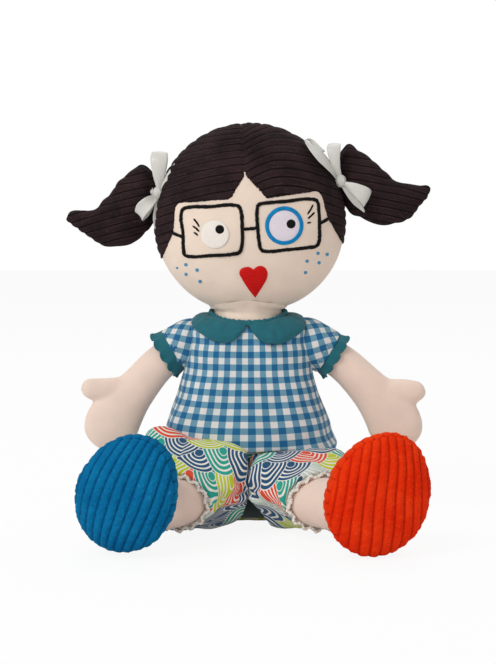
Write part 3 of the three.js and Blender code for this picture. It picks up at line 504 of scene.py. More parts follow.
colours = mixedInks({
    # the limbs' skin colour is a little darker and pinker than the face's: painted shade on the arms and legs
    "skin": (236, 216, 198), "limb": (235, 211, 195), "thread": (14, 13, 13), "freckle": (60, 140, 180),
    # the hair's valley colour is painted shade in the grooves between its cords
    "hairValley": (14, 10, 11), "hairCrown": (33, 24, 26), "hairTips": (50, 35, 36),
    "eyeWhite": (238, 230, 220), "eyeLilac": (228, 218, 226), "eyeBlue": (0, 138, 200), "lips": (208, 12, 8),
    "ginghamDark": (0, 94, 142), "ginghamMiddle": (76, 140, 166), "ginghamPale": (222, 220, 218),
    # the dark teal between the legs is painted shade
    "teal": (20, 100, 112), "crotchShadow": (12, 28, 30), "ribbon": (208, 206, 198), "lace": (240, 234, 224),
    # blueRim and orangeRim are a painted sheen at the slippers' silhouettes; the blue and orange valley colours
    # are painted shade in the grooves
    "blueValley": (0, 72, 118), "blueCrown": (0, 98, 148), "blueTips": (6, 112, 160), "blueRim": (4, 126, 152),
    "orangeValley": (190, 28, 0), "orangeCrown": (222, 40, 2), "orangeTips": (234, 58, 12),
    "orangeRim": (244, 92, 24), "canvas": (205, 196, 176), "elastic": (225, 225, 222),
    "printGround": (236, 234, 224), "seam": (206, 200, 192), "floor": (246, 246, 246)})
inks = mixedInks({"lime": (190, 205, 30), "navy": (22, 76, 116), "red": (225, 75, 40), "green": (30, 160, 140),
                  "pale": (196, 212, 202)})
printOrder = ("lime", "navy", "red", "green", "navy", "pale", "red", "lime", "green", "navy")
wales = {"hair": 5.8, "foot": 7.6}  # pitch of the corduroy's cords

skinCloth = plainCloth("skinCloth", colours["skin"], 0.035, 0.2)
# a shaded copy of the skin cloth for the arms and legs: painted shade
shadedLimbCloth = plainCloth("shadedLimbCloth", colours["limb"], 0.04, 0.2)
# hair corduroy: painted shade in its grooves, painted highlights on its cord edges and a painted sheen at its
# silhouette
hairCorduroy = corduroy("hairCorduroy", colours["hairValley"], colours["hairCrown"], colours["hairTips"],
                        wales["hair"], 0.12, 0.8)
blackThread = satin("blackThread", colours["thread"], 0.6, 0.7, 0.1, 0.0, 0.1, 0.12)
whiteSatin = satin("whiteSatin", colours["eyeWhite"], 0.7, 0.55, 0.06, 0.1, 0.02)
lilacSatin = satin("lilacSatin", colours["eyeLilac"], 0.7, 0.55, 0.06, 0.1, 0.02)
blueThread = satin("blueThread", colours["eyeBlue"], 0.6, 0.4, 0.14, 0.0, 0.12, 0.15)
redSatin = satin("redSatin", colours["lips"], 0.55, 0.3, 0.1, 0.0, 0.04, 0.15)
freckleThread = satin("freckleThread", colours["freckle"], 0.5, 0.5)
# a dark cotton standing for the shade between the thighs: painted shade
crotchShadowCotton = plainCloth("crotchShadowCotton", colours["crotchShadow"], 0.06, 0.05, 0.5, 0.08)
tealCotton = plainCloth("tealCotton", colours["teal"], 0.07, 0.1, 0.6, 0.1)
ginghamCotton = gingham("ginghamCotton", colours["ginghamDark"], colours["ginghamMiddle"],
                        colours["ginghamPale"])
printedCotton = scallopPrint("printedCotton", colours["printGround"], [inks[key] for key in printOrder])
laceCotton = plainCloth("laceCotton", colours["lace"], 0.05, 0.2, 0.5, 0.1)
ribbonSatin = satin("ribbonSatin", colours["ribbon"], 0.6, 0.34, 0.03, 0.2, 0.02)
# slipper corduroys: painted shade in their grooves and a painted sheen in the rim colour at their silhouettes
blueCorduroy, orangeCorduroy = [
    corduroy(dye + "Corduroy", colours[dye + "Valley"], colours[dye + "Crown"], colours[dye + "Tips"],
             wales["foot"], 0.12, 0.0, colours[dye + "Rim"]) for dye in ("blue", "orange")]
beanCanvas = plainCloth("beanCanvas", colours["canvas"], 0.1, 0.1, 1.0, 0.15)
waistElastic = plainCloth("waistElastic", colours["elastic"], 0.05, 0.1, 1.2, 0.2)
seamThread = plainCloth("seamThread", colours["seam"], 0.05, 0.1, 0)
print("doll: materials made")

# Camera at the photograph's angle
view = {"distance": 1300, "elevation": 6, "lens": 88.1, "sensor": 36, "aim": 150.6}
slope = math.radians(view["elevation"])
camera = addObject("camera", bpy.data.cameras.new("camera"))
camera.data.lens, camera.data.sensor_width, camera.data.sensor_fit = view["lens"], view["sensor"], "AUTO"
camera.location = [0, -math.cos(slope) * view["distance"] * millimetre,
                   (view["aim"] + math.sin(slope) * view["distance"]) * millimetre]
camera.rotation_euler = (math.pi / 2 - slope, 0, 0)
camera.data.clip_start, camera.data.clip_end = 0.05, 20
bpy.context.scene.camera = camera

# Head: one soft form that leans a little to its left
head = {"centre": (1.5, 0, 238.5), "halfWidth": 75, "halfDepth": 52, "crown": 77, "chin": 71.5, "lower": 1.1,
        "jaw": 0.9, "fullness": 2.15, "tilt": -4.4, "seam": 6.0, "middle": -0.9,
        "gathers": 9, "gatherDepth": 0.7, "gathersAt": (52, 68),  # from the chin down to the neck
        "underHair": 1.6, "unevenness": 0.35}
lean = math.radians(head["tilt"])
headTurn = np.array([[math.cos(lean), 0, math.sin(lean)], [0, 1, 0], [-math.sin(lean), 0, math.cos(lean)]])


def onHead(points):  # from the head's own upright frame to the doll's
    return np.asarray(points) @ headTurn.T + np.array(head["centre"])


def tallAt(z):  # height of the head's upper or lower half
    return np.where(z > 0, head["crown"], head["chin"])


def slimAt(z, share, least):  # how far the head draws in towards the crown and the chin
    return np.maximum(1 - share * share, least) ** (np.where(z > 0, 1, head["jaw"]) / 2)


def headShare(points):  # below 1 inside the head, above 1 outside
    x, y, z = np.moveaxis(points, -1, 0)
    s = np.clip(z / tallAt(z), -1.4, 1.4)
    slim = np.maximum(slimAt(z, s, 0), 1e-4)
    power = head["fullness"]
    ring = (np.abs(x) / head["halfWidth"]) ** power + (np.abs(y) / head["halfDepth"]) ** power
    return np.where(np.abs(s) >= 1, 9, ring ** (1 / power) / slim)


def castOnHead(directions):  # where rays from the head's middle leave it
    directions = unit(directions)
    near, far = np.zeros(directions.shape[:-1]), np.full(directions.shape[:-1], 140.0)
    for _ in range(26):
        middle = (near + far) / 2
        inside = headShare(directions * middle[..., None]) < 1
        near, far = np.where(inside, middle, near), np.where(inside, far, middle)
    return directions * near[..., None]


def headNormal(points):
    step = 0.4
    return unit(np.stack([headShare(points + d) - headShare(points - d) for d in np.eye(3) * step], -1))


def onFace(u, v, lift=0.0):  # front surface of the head above a point of the front view
    u, v = np.broadcast_arrays(np.asarray(u, float), np.asarray(v, float) - head["lower"])
    slim = slimAt(v, v / tallAt(v), 1e-6)
    inner = np.clip(1 - (np.abs(u) / (head["halfWidth"] * slim)) ** head["fullness"], 0, 1)
    points = np.stack([u, -head["halfDepth"] * slim * inner ** (1 / head["fullness"]), v], -1)
    return points + headNormal(points) * np.asarray(lift)[..., None]


def headSkin(rows=90, columns=140):
    rise, turn = ball(rows, columns)
    points = castOnHead(np.stack([np.cos(rise) * np.cos(turn), np.cos(rise) * np.sin(turn), np.sin(rise)], -1))
    gathers = smoothStep(-points[..., 2], *head["gathersAt"]) * np.abs(np.sin(turn * head["gathers"]))
    points = points - unit(points) * (head["gatherDepth"] * gathers)[..., None]
    covered = smoothStep(points[..., 1], 2, 9) * smoothStep(points[..., 2], -40, -20)  # by the back hair
    points = points - unit(points) * (head["underHair"] * covered)[..., None]
    points += unit(points) * (head["unevenness"] * softNoise(points, 46, 3))[..., None]
    cloth = clothAt(np.linspace(0, 40, columns + 1)[None], np.linspace(0, 20, rows)[:, None])
    return surface(onHead(points), cloth, around=True)


face = makePiece("faceAndHeadStuffing", [headSkin()], skinCloth, "head", ["head_body"])

# Hair panels: the fringe in the front view, from the parting down to the tip beside each cheek
hair = {"right": [(-0.9, 38.2), (-3.5, 34.8), (-6.5, 31.0), (-9.6, 26.7), (-12.9, 22.2), (-13.6, 21.7),
                  (-14.6, 21.5), (-23.6, 21.4), (-35.9, 21.1), (-45.6, 21.2), (-50.9, 21.2), (-53.8, 20.5),
                  (-55.6, 18.9), (-56.6, 16.2), (-58.1, 8.3), (-59.6, 0.1), (-60.9, -3.3), (-64.9, -10.8),
                  (-69.0, -18.6), (-71.2, -22.0)],
        "left": [(-0.9, 38.2), (3.8, 32.6), (8.2, 27.4), (11.9, 23.0), (14.4, 20.3), (15.2, 19.8),
                 (16.2, 19.9), (22.6, 20.3), (33.6, 20.9), (46.0, 21.7), (51.6, 21.9), (54.6, 21.2),
                 (56.4, 19.2), (57.4, 16.2), (58.9, 7.5), (60.5, 0.5), (63.1, -4.3), (66.6, -11.6),
                 (70.2, -18.7), (72.0, -22.0)],
        "rows": 250, "columns": 120, "ribHeight": 0.95, "edgeRound": 2.8, "droop": 0.0022, "ragged": 0.55,
        "lift": 0.5, "pile": 0.12, "tip": 21, "crease": 3.2, "lowerTip": 31, "unevenWales": 0.39,
        # on the left the cords bulge up beside the parting: places across, and heights
        "bulge": ([-20, 0, 10, 20, 30, 48, 72, 95], [0, 0, 4.2, 7.6, 8.6, 7.4, 3.0, 0])}


def waleAt(points):  # how far up the head a wale lies, measured over its curve
    z = points[..., 2] + hair["droop"] * points[..., 0] ** 2
    tall = np.where(z > 0, head["crown"] + 6, head["chin"] + 30)
    return 70 * np.arcsin(np.clip(z / tall, -1, 1))


def hairSheet(base, wale, shift, edge, groove, fromSeam):  # corduroy that lies on the head
    seam = 0.35 + 0.65 * smoothStep(fromSeam, 0, 3)
    lift = (hair["lift"] + hair["ribHeight"] * ribs(wale + shift, wales["hair"])) * edge * groove * seam
    lift += hair["pile"] * softNoise(base, 5, 6) * edge
    cloth = np.stack([base[..., 0], wale], -1) * toCloth
    return surface(onHead(base + headNormal(base) * lift[..., None]), cloth)


def hairPanel(side, sign):
    outline, _ = alongPath(hair[side], hair["rows"])
    outline[0, 0] = head["middle"]
    start = onFace(outline[:, 0], outline[:, 1])
    fading = np.linspace(1, 0.4, len(outline))[:, None]
    frayed = outline + wobble.uniform(-1, 1, outline.shape) * hair["ragged"] * fading
    fray = unit(onFace(frayed[:, 0], frayed[:, 1])) - unit(start)
    # the side seam runs from the crown down to the tip beside the cheek
    rise = np.linspace(math.pi / 2, -math.asin(hair["tip"] / head["chin"]), 400)
    arc = castOnHead(np.stack([sign * np.cos(rise), 0 * rise, np.sin(rise)], -1))
    arc[0, 0] = 0
    far = runOf(arc)
    end = between(np.linspace(0, 1, hair["rows"]) ** 0.9 * far[-1], far, arc)
    end[:, 1] = head["seam"]
    end[0, 0] = head["middle"] * 0.2
    steps = np.concatenate([np.linspace(0, 0.04, 8)[:-1], np.linspace(0.04, 1, hair["columns"] - 7)])
    steps = steps[None, :, None]
    sweep = unit(start)[:, None] * (1 - steps) + unit(end)[:, None] * steps
    base = castOnHead(sweep + fray[:, None] * np.exp(-steps / 0.008))
    places, heights = hair["bulge"]
    bulge = through(places, heights, np.clip(base[..., 0], places[0], places[-1])) * (sign > 0)
    wale = waleAt(base - bulge[..., None] * straightUp)
    edge = roundedEdge(np.linalg.norm(base - base[:, :1], axis=-1), hair["edgeRound"])
    parting = 0.25 + 0.75 * smoothStep(np.abs(base[:, :, 0] - head["middle"]), 0, hair["crease"])
    uneven = hair["unevenWales"] * softNoise(base, 60, 5)
    return hairSheet(base, wale, uneven, edge, parting, head["seam"] - base[..., 1])


def hairBackPanel():
    t, q = np.meshgrid(np.linspace(-0.78, 1.45, 260), np.linspace(0, 1, 180), indexing="ij")
    slim = np.where(t > 0, np.cos(t), np.abs(np.cos(t)) ** head["jaw"])
    start = np.arcsin(np.clip(head["seam"] / (head["halfDepth"] * np.maximum(slim, 0.12)), 0, 1))
    a = start + (math.pi - 2 * start) * q
    power = 2 / head["fullness"]
    x = head["halfWidth"] * slim * signedPower(np.cos(a), power)
    y = head["halfDepth"] * slim * np.abs(np.sin(a)) ** power
    base = np.stack([x, y, np.sin(t) * tallAt(t)], -1)
    low = -hair["tip"] - hair["lowerTip"] * smoothStep(y, 6, 44)  # from the cheek tips down to the nape
    base[..., 2] = np.where(base[..., 2] < 0, base[..., 2] / -base[0, :, 2] * -low, base[..., 2])
    base = castOnHead(base)
    edge = roundedEdge(base[..., 2] - low, hair["edgeRound"])
    return hairSheet(base, waleAt(base), 0, edge, 1, base[..., 1] - head["seam"])


for side, sign in sides:
    panel = makePiece("hairFront_" + side, [hairPanel(side, sign)], hairCorduroy, "head",
                      ["hair_front_" + side], flip=sign < 0)
back = makePiece("hairBack", [hairBackPanel()], hairCorduroy, "head", ["hair_back"])
print("doll: head made")

# Embroidery on the face, in the front view of the upright head
glasses = {"thread": 2.8, "lift": 0.8, "thinner": 0.9, "bridge": ((-5.9, -2.2), (5.8, -2.0)),
           "temples": (((-52.3, -5.2), (-60.9, -1.2)), ((53.4, -3.2), (61.2, 0.5))),
           "right": [(-51.9, 13.4), (-51.0, 15.6), (-49.2, 16.9), (-45.8, 17.4), (-29.3, 16.8), (-11.0, 16.6),
                     (-8.2, 15.9), (-6.6, 13.9), (-5.9, 10.0), (-6.1, -0.6), (-7.7, -15.6), (-8.6, -18.2),
                     (-10.4, -20.0), (-13.6, -20.5), (-32.5, -20.6), (-48.4, -20.4), (-50.9, -19.9),
                     (-52.3, -18.4), (-52.6, -15.4), (-51.9, -2.9)],
           "left": [(6.3, 11.6), (7.0, 14.4), (8.8, 16.0), (12.0, 16.3), (27.8, 16.4), (49.9, 16.0),
                    (52.2, 15.3), (53.3, 13.2), (53.6, 7.9), (53.2, -5.8), (52.1, -16.6), (51.2, -18.8),
                    (49.2, -20.1), (44.0, -20.4), (26.3, -20.5), (10.9, -20.4), (8.2, -19.8), (6.6, -17.8),
                    (6.1, -14.4), (5.7, -1.3)]}
threadLift = 0.15  # how far all stitches stand off the cloth
stitchPitch = 0.62


def stitchedLine(path, width, height, closed=False, ragged=0.13):
    # satin stitches side by side along a line of the face
    rough = np.asarray(path, float)
    count = max(8, int(runOf(rough)[-1] / (stitchPitch / 2)))
    line, length = alongPath(rough, count, closed)
    run = unit((np.roll(line, -1, 0) - np.roll(line, 1, 0)) if closed else np.gradient(line, axis=0))
    across = np.stack([-run[:, 1], run[:, 0]], 1)
    s = np.linspace(-1, 1, 9)
    half = np.full((count, 1), width / 2)
    jag = 1 + ragged * wobble.uniform(-1, 1, (count, 1)) * 2
    shift = np.where(s > 0, jag, np.roll(jag, 3, 0))
    if not closed:
        tip = np.minimum(1, np.minimum(np.arange(count), np.arange(count)[::-1]) / 2.5)
        half = half * np.sqrt(np.clip(tip, 0.05, 1))[:, None]
    place = line[:, None] + across[:, None] * (s * half * shift)[..., None]
    dome = np.clip(1 - s * s, 0, 1)
    thread = 0.10 * np.cos(np.arange(count) * math.pi)[:, None]
    lift = threadLift + height * np.sqrt(dome) * (1 + 0.08 * wobble.uniform(-1, 1, (count, 1))) + thread * dome
    cloth = clothAt((np.arange(count + closed) * length / count)[:, None], s[None]) * toCloth
    return surface(onHead(onFace(place[..., 0], place[..., 1], lift)), cloth, along=closed)


def stitchedDisc(centre, radius, height, base, rings=0, ringDepth=0.09):
    # round patch of close stitches, a little domed
    share, turn = np.linspace(0, 1, 30)[:, None], fullTurn(72)[None]
    u, v = centre[0] + radius * share * np.cos(turn), centre[1] + radius * share * np.sin(turn)
    lift = base + height * np.clip(1 - share ** 6, 0, 1) ** 0.5 + 0 * turn
    if rings:
        lift = lift + ringDepth * np.cos(share * radius / rings * 2 * math.pi) * (share < 0.96)
    cloth = closedCloth(np.stack([u, v], -1)) * toCloth
    return surface(onHead(onFace(u, v, lift)), cloth, around=True)


def embroider(name, parts, material, node):
    makePiece(name, parts, material, "head", [node] if node else ())


rims = [stitchedLine(glasses[side], glasses["thread"], glasses["lift"], True) for side, _ in sides]
bars = [stitchedLine(np.linspace(start, end, 6), glasses["thread"] * glasses["thinner"], glasses["lift"])
        for start, end in (glasses["bridge"],) + glasses["temples"]]
embroider("glassesStitching", rims + bars, blackThread, "glasses_stitching")

eyes = {"right": {"centre": (-27.4, -4.4), "white": 10.8, "pupil": (-23.2, -0.9), "pupilRadius": 3.4},
        "left": {"centre": (26.1, -2.0), "white": 11.9, "pupil": (31.2, -1.0), "pupilRadius": 3.5,
                 "ring": 13.2, "ringWidth": 3.2}}
eyeHeights = {"white": 0.45, "pupil": 0.7, "pupilBase": 0.5, "ring": 0.9, "rows": 1.7}
for side, eye in eyes.items():
    white = stitchedDisc(eye["centre"], eye["white"], eyeHeights["white"], threadLift, eyeHeights["rows"])
    embroider("eyeWhite_" + side, [white], whiteSatin if side == "right" else lilacSatin, "eye_white_" + side)
    pupil = stitchedDisc(eye["pupil"], eye["pupilRadius"], eyeHeights["pupil"], eyeHeights["pupilBase"])
    embroider("pupil_" + side, [pupil], blackThread, "pupil_" + side)
    if "ring" in eye:
        turn = fullTurn(40)
        circle = np.array(eye["centre"]) + eye["ring"] * np.stack([np.cos(turn), np.sin(turn)], 1)
        ring = stitchedLine(circle, eye["ringWidth"], eyeHeights["ring"], True, ragged=0.05)
        embroider("eyeRing_" + side, [ring], blueThread, "eye_ring_" + side)

lashes = {"width": 1.5, "height": 0.45, "bow": [0, 0.2, 0.35, 0.2, 0],
          "strokes": [((-42.7, 8.5), (-38.8, 2.0)), ((-43.9, 3.1), (-39.1, -1.6)),
                      ((-43.5, -1.8), (-40.4, -4.7)),
                      ((49.5, 12.2), (44.5, 5.1)), ((50.1, 6.2), (44.5, 1.8)), ((46.8, -1.3), (43.6, -1.4))]}
lashLines = [np.linspace(start, end, 5) + np.outer(lashes["bow"], (1, 0)) for start, end in lashes["strokes"]]
embroider("lashes", [stitchedLine(line, lashes["width"], lashes["height"]) for line in lashLines], blackThread,
          None)
freckles = {"radius": 1.4, "first": 0.75, "height": 0.35, "base": 0.12,  # the first one is smaller
            "places": [(-59.2, -29.3), (-51.9, -26.8), (-52.6, -34.6), (-43.5, -31.4), (-42.0, -40.7),
                       (50.8, -25.8), (58.1, -27.6), (41.8, -31.0), (51.2, -33.4), (40.1, -39.9)]}
dots = [stitchedDisc(place, freckles["radius"] * (1 if index else freckles["first"]), freckles["height"],
                     freckles["base"]) for index, place in enumerate(freckles["places"])]
embroider("freckles", dots, freckleThread, None)

heart = {"outline": [(0.1, -33.7), (1.1, -32.7), (2.9, -31.7), (6.1, -31.3), (9.1, -33.0), (10.7, -36.6),
                     (9.8, -41.7), (6.4, -47.4), (2.6, -52.7), (0.1, -56.2), (-0.3, -56.7), (-0.7, -56.1),
                     (-3.1, -52.5), (-6.6, -46.4), (-9.6, -40.1), (-11.1, -35.6), (-9.8, -32.9), (-6.2, -31.5),
                     (-2.6, -31.8), (-0.7, -33.1)],
         "middle": (0.2, -41.0), "height": 1.15, "stitch": 1.3, "stitchDepth": 0.16}


def heartPatch():
    rim, _ = alongPath(heart["outline"] + [heart["outline"][0]], 150)
    share = np.linspace(0, 1, 26)[:, None]
    place = np.array(heart["middle"]) * (1 - share[..., None]) + rim[None] * share[..., None]
    across, down = place[..., 0], place[..., 1]
    lift = threadLift + heart["height"] * np.sqrt(np.clip(1 - share ** 5, 0, 1)) + 0 * across
    rows = np.cos(down * 2 * math.pi / heart["stitch"] + 0.6 * across)
    lift += heart["stitchDepth"] * rows * (1 - share ** 8)
    return surface(onHead(onFace(across, down, lift)), np.stack([down, across], -1) * toCloth)


embroider("mouthHeart", [heartPatch()], redSatin, "mouth_heart")
print("doll: face embroidered")

# Pigtails and their ribbons
pigtail = {"root": (67, 5, 28), "ribHeight": 1.15, "waleSlope": {"right": 0.16, "left": -0.24}, "tipRound": 5,
           "rootRound": 3, "pleats": 11, "pleatDepth": 0.7, "unevenness": 0.7,
           "waleBend": 0.0012, "bendFrom": 95, "seam": 0.7, "clear": (76, 86), "pleatsEnd": (74, 96),
           # upper edge, lower edge and half thickness of the hair, from the root to the tip
           "right": [(-62, 34, -62, 22, 7), (-70, 35, -70, 21, 7.5), (-74, 44, -75.5, 8, 10),
                     (-80, 50.8, -79.5, 2, 13), (-90.1, 48.3, -87, -4.4, 15), (-102.9, 38.2, -98, -10.8, 15.5),
                     (-112, 27.8, -109.5, -11.4, 14), (-121.5, 20.4, -120.5, -9.2, 10.5),
                     (-132.5, 19.0, -131, -0.6, 7.5), (-141.6, 18.0, -140, 7, 4.5),
                     (-146, 14.8, -145.5, 11, 1.8)],
           "left": [(62, 34, 62, 21, 7), (70.5, 35, 70.5, 20, 7.5), (74.5, 46, 76.5, 8, 10),
                    (80.5, 53.8, 80, 1.6, 13), (90.5, 49.4, 88, -3.6, 15), (101, 41.4, 99, -9.6, 15.5),
                    (110, 31.4, 110.5, -10.8, 14), (119.2, 23.0, 120.5, -8.8, 11), (129, 19.8, 131, -3.2, 8),
                    (138.4, 18.4, 139, 4.6, 5), (146.0, 18.2, 144.6, 11.2, 1.8)]}


def pigtailForm(side):
    table = np.array(pigtail[side], float)
    upper, lower = table[:, :2], table[:, 2:4]
    steps = runOf((upper + lower) / 2)
    bend = np.sin(np.linspace(0, math.pi / 2, 10))[1:]
    tipStart = steps[-1] - pigtail["tipRound"]
    at = np.concatenate([np.linspace(0, tipStart, 130), tipStart + pigtail["tipRound"] * bend])
    row = through(steps, table, at)
    rounding = roundedEdge(steps[-1] - at, pigtail["tipRound"]) * roundedEdge(at, pigtail["rootRound"])
    turn = fullTurn(160)
    middle = (row[:, :2] + row[:, 2:4]) / 2
    reach = (row[:, :2] - row[:, 2:4]) / 2 * rounding[:, None]
    x, z = [middle[:, k:k + 1] + reach[:, k:k + 1] * np.cos(turn) for k in (0, 1)]
    grid = np.stack([x, pigtail["root"][1] + (row[:, 4] * rounding)[:, None] * np.sin(turn), z], -1)
    slant = pigtail["waleSlope"][side]
    wale = (z - slant * x) / math.hypot(1, slant)
    wale = wale + pigtail["waleBend"] * (np.abs(x) - pigtail["bendFrom"]) ** 2
    out = turnedOut(normalsOf(grid, around=True), grid - grid.mean(1, keepdims=True))
    free = smoothStep(np.abs(x), *pigtail["clear"])  # clear of the ribbon
    pleats = (1 - smoothStep(np.abs(x), *pigtail["pleatsEnd"])) * np.sin(turn * pigtail["pleats"] + 1)
    seam = 1 - pigtail["seam"] * hump(np.sin(turn), 0, 0.05)
    lift = (pigtail["ribHeight"] * (ribs(wale, wales["hair"]) - 0.6) * free * seam
            + pigtail["unevenness"] * softNoise(grid, 26, 9) * free + pigtail["pleatDepth"] * pleats)
    grid = grid + out * (lift * rounding[:, None])[..., None]
    return surface(onHead(grid), closedCloth(np.stack([x, wale], -1) * toCloth), around=True)


ribbons = {"width": 10, "thick": 0.45, "cup": 0.8, "knotSize": (4.4, 3.9, 5.0), "knotFold": 0.07,
           "band": {"from": 7.2, "to": 12.8, "radius": 9.6, "gathers": 11, "gatherDepth": 0.25, "pinch": 0.12},
           "right": {"knot": (-70.1, -13.5, 28.6),
                    "upper": ([(-70.6, -13, 31.0), (-73.0, -16, 44.0), (-73.6, -15, 56.5),
                               (-72.2, -10.5, 60.8), (-71.0, -6, 53.5), (-69.5, -8.5, 33.0)],
                              [(-67.6, -13, 31.6), (-62.8, -16, 43.5), (-60.0, -15, 55.0),
                               (-60.6, -10.5, 59.6), (-63.0, -6, 51.5), (-67.8, -8.5, 33.5)]),
                    "outer": ([(-71.8, -14, 27.8), (-79.6, -18, 26.2), (-87.6, -17, 20.4), (-89.0, -13, 15.0),
                               (-83.0, -10, 17.0), (-74.2, -10, 24.0)],
                              [(-69.8, -14, 24.6), (-74.9, -18.5, 18.0), (-82.4, -17.5, 10.4),
                               (-84.0, -13, 7.6), (-79.0, -10, 11.4), (-72.0, -10, 22.6)]),
                    "tail": ([(-71.4, -14, 26.4), (-74.0, -15.5, 17.2), (-75.8, -14, 7.9), (-74.2, -12.5, -1.2)],
                             [(-68.2, -14, 26.2), (-66.6, -15.5, 16.7), (-68.4, -14, 5.8),
                              (-73.4, -12.5, -2.3)]),
                    "inner": ([(-68.9, -12.5, 30.6), (-62.9, -14, 41.4), (-55.3, -10, 51.0)],
                              [(-67.4, -14.5, 28.6), (-60.3, -18, 39.6), (-54.0, -14, 49.6)])},
           "left": {"knot": (73.3, -13.5, 27.0),
                    "upper": ([(71.0, -13, 30.0), (66.4, -17, 41.6), (64.4, -15.5, 53.0), (66.0, -10.5, 56.4),
                               (68.0, -6.5, 47.0), (71.2, -8.5, 32.0)],
                              [(74.6, -13, 30.2), (73.6, -17, 41.2), (75.0, -15.5, 52.4), (75.6, -10.5, 55.6),
                               (74.6, -6.5, 46.5), (74.2, -8.5, 32.0)]),
                    "outer": ([(75.0, -14, 26.6), (85.0, -19, 24.4), (95.4, -18, 19.2), (96.6, -13.5, 16.4),
                               (90.0, -10.5, 17.6), (77.4, -10, 23.4)],
                              [(75.6, -14, 23.6), (81.6, -19.5, 15.6), (88.4, -18.5, 7.6), (89.4, -13.5, 5.0),
                               (84.6, -10.5, 9.0), (76.2, -10, 21.0)]),
                    "tail": ([(73.0, -14, 24.9), (76.4, -16, 17.0), (81.4, -15, 9.0), (90.2, -13, 1.0)],
                             [(75.8, -14, 25.2), (82.0, -16, 18.0), (86.8, -15, 10.6), (90.8, -13, 1.8)]),
                    "inner": ([(71.2, -12.5, 29.0), (68.4, -15, 38.0), (62.4, -17, 48.5), (49.0, -17, 61.4),
                               (52.0, -12, 61.8), (63.0, -12, 51.0)],
                              [(71.8, -14.5, 26.6), (64.4, -26, 35.5), (55.6, -32, 45.0), (47.4, -22, 60.4),
                               (49.4, -14, 61.4), (59.0, -17, 49.0)])}}
# each strip of the bows: its node, its length when flat and its area, in metres
strips = {"upper": ("ribbon_loop_upper_", 0.062, 0.00052), "outer": ("ribbon_loop_outer_", 0.046, 0.0004),
          "tail": ("ribbon_tail_", 0.03, 0.00018), "inner": (None, 0.026, 0.00013)}
longInner = (None, 0.06, 0.00045)  # the left bow's inner loop is a whole one


def ribbonStrip(edges, rows=40, columns=9):
    one, two = [alongPath(edge, rows)[0][:, None] for edge in edges]
    s = np.linspace(0, 1, columns)[None, :, None]
    points = one * (1 - s) + two * s
    points = points + normalsOf(points) * (np.sin(math.pi * s) * ribbons["cup"])
    cloth = clothAt(s[..., 0] * ribbons["width"], np.linspace(0, ribbons["width"] * 3, rows)[:, None]) * toCloth
    return surface(onHead(points), cloth)


def ribbonKnot(centre):
    rise, turn = ball(22, 40)
    fold = 1 + ribbons["knotFold"] * np.sin(turn * 5 + rise * 2)
    flat = np.cos(rise) * fold
    points = np.stack([flat * np.cos(turn), flat * np.sin(turn), np.sin(rise)], -1)
    points = points * np.array(ribbons["knotSize"])
    return surface(onHead(points + np.array(centre)), closedCloth(np.stack([turn, rise], -1)), around=True)


def ribbonBand(sign):
    x, y, z = pigtail["root"]
    band = ribbons["band"]
    turn = fullTurn(60)
    far = np.linspace(band["from"], band["to"], 8)[:, None]
    pinch = 1 + band["pinch"] * np.abs(far - (band["from"] + band["to"]) / 2) / 3
    radius = band["radius"] * pinch + band["gatherDepth"] * np.sin(turn * band["gathers"])
    points = np.stack([sign * (x + far + 0 * turn), y + radius * np.cos(turn), z + radius * np.sin(turn)], -1)
    return surface(onHead(points), clothAt(np.linspace(0, 6, 61)[None], far * toCloth), around=True)


for side, sign in sides:
    body = side + "_pigtail"
    tail = makePiece("pigtailHair_" + side, [pigtailForm(side)], hairCorduroy, body, ["pigtail_" + side],
                     flip=sign > 0)
    knot = makePiece("ribbonKnot_" + side, [ribbonKnot(ribbons[side]["knot"])], ribbonSatin, body,
                     ["ribbon_knot_" + side])
    band = makePiece("ribbonBand_" + side, [ribbonBand(sign)], ribbonSatin, body, ["ribbon_band_" + side],
                     thick=ribbons["thick"])
    for part, row in strips.items():
        node, length, area = longInner if part == "inner" and side == "left" else row
        strip = makePiece("bow_" + part + "_" + side, [ribbonStrip(ribbons[side][part])], ribbonSatin, body,
                          [node + side] if node else (), thick=ribbons["thick"], inward=0.0)
print("doll: pigtails and ribbons made")

# Torso form, in rows of shares from the seat to the shoulders
torso = {"low": 2.5, "high": 159, "halfWidth": 59, "depth": 44, "fullness": 2.5, "topRound": 0.88,
         # height, half width, front depth and back depth
         "shares": [(0, .80, .26, .94), (.04, .93, .42, 1.06), (.12, 1.01, .62, 1.14), (.28, 1.04, .90, 1.14),
                    (.48, 1.02, 1.03, 1.00), (.63, .93, .96, .86), (.76, .85, .86, .77), (.90, .79, .72, .69),
                    (.985, .70, .54, .61), (1, .62, .44, .55)]}
torsoTable = np.array(torso["shares"])


def levelAt(up):  # height of a share of the torso
    return torso["low"] + up * (torso["high"] - torso["low"])


def torsoPoint(up, turn, off):  # turn 0 faces the doll's left, a quarter turn faces the back
    up, turn = np.broadcast_arrays(np.asarray(up, float), np.asarray(turn, float))
    row = through(torsoTable[:, 0], torsoTable[:, 1:], np.clip(up, 0, 1))
    c, s = np.cos(turn), np.sin(turn)
    power = 2 / torso["fullness"]
    depth = np.where(s < 0, row[..., 1], row[..., 2]) * torso["depth"] + off
    x = (row[..., 0] * torso["halfWidth"] + off) * signedPower(c, power)
    z = levelAt(up) + off * smoothStep(up, torso["topRound"], 1.0)
    return np.stack([x, depth * signedPower(s, power), z], -1)


def torsoStuffing():
    grid = torsoPoint(np.linspace(0, 1, 50)[:, None], fullTurn(90)[None], -0.2)
    low, high = grid[:1].mean(1, keepdims=True), grid[-1:].mean(1, keepdims=True)
    close = [low + (grid[:1] - low) * share for share in (0, 0.4, 0.8)]
    top = [high + (grid[-1:] - high) * share for share in (0.8, 0.4, 0)]
    return surface(np.concatenate(close + [grid] + top), around=True)


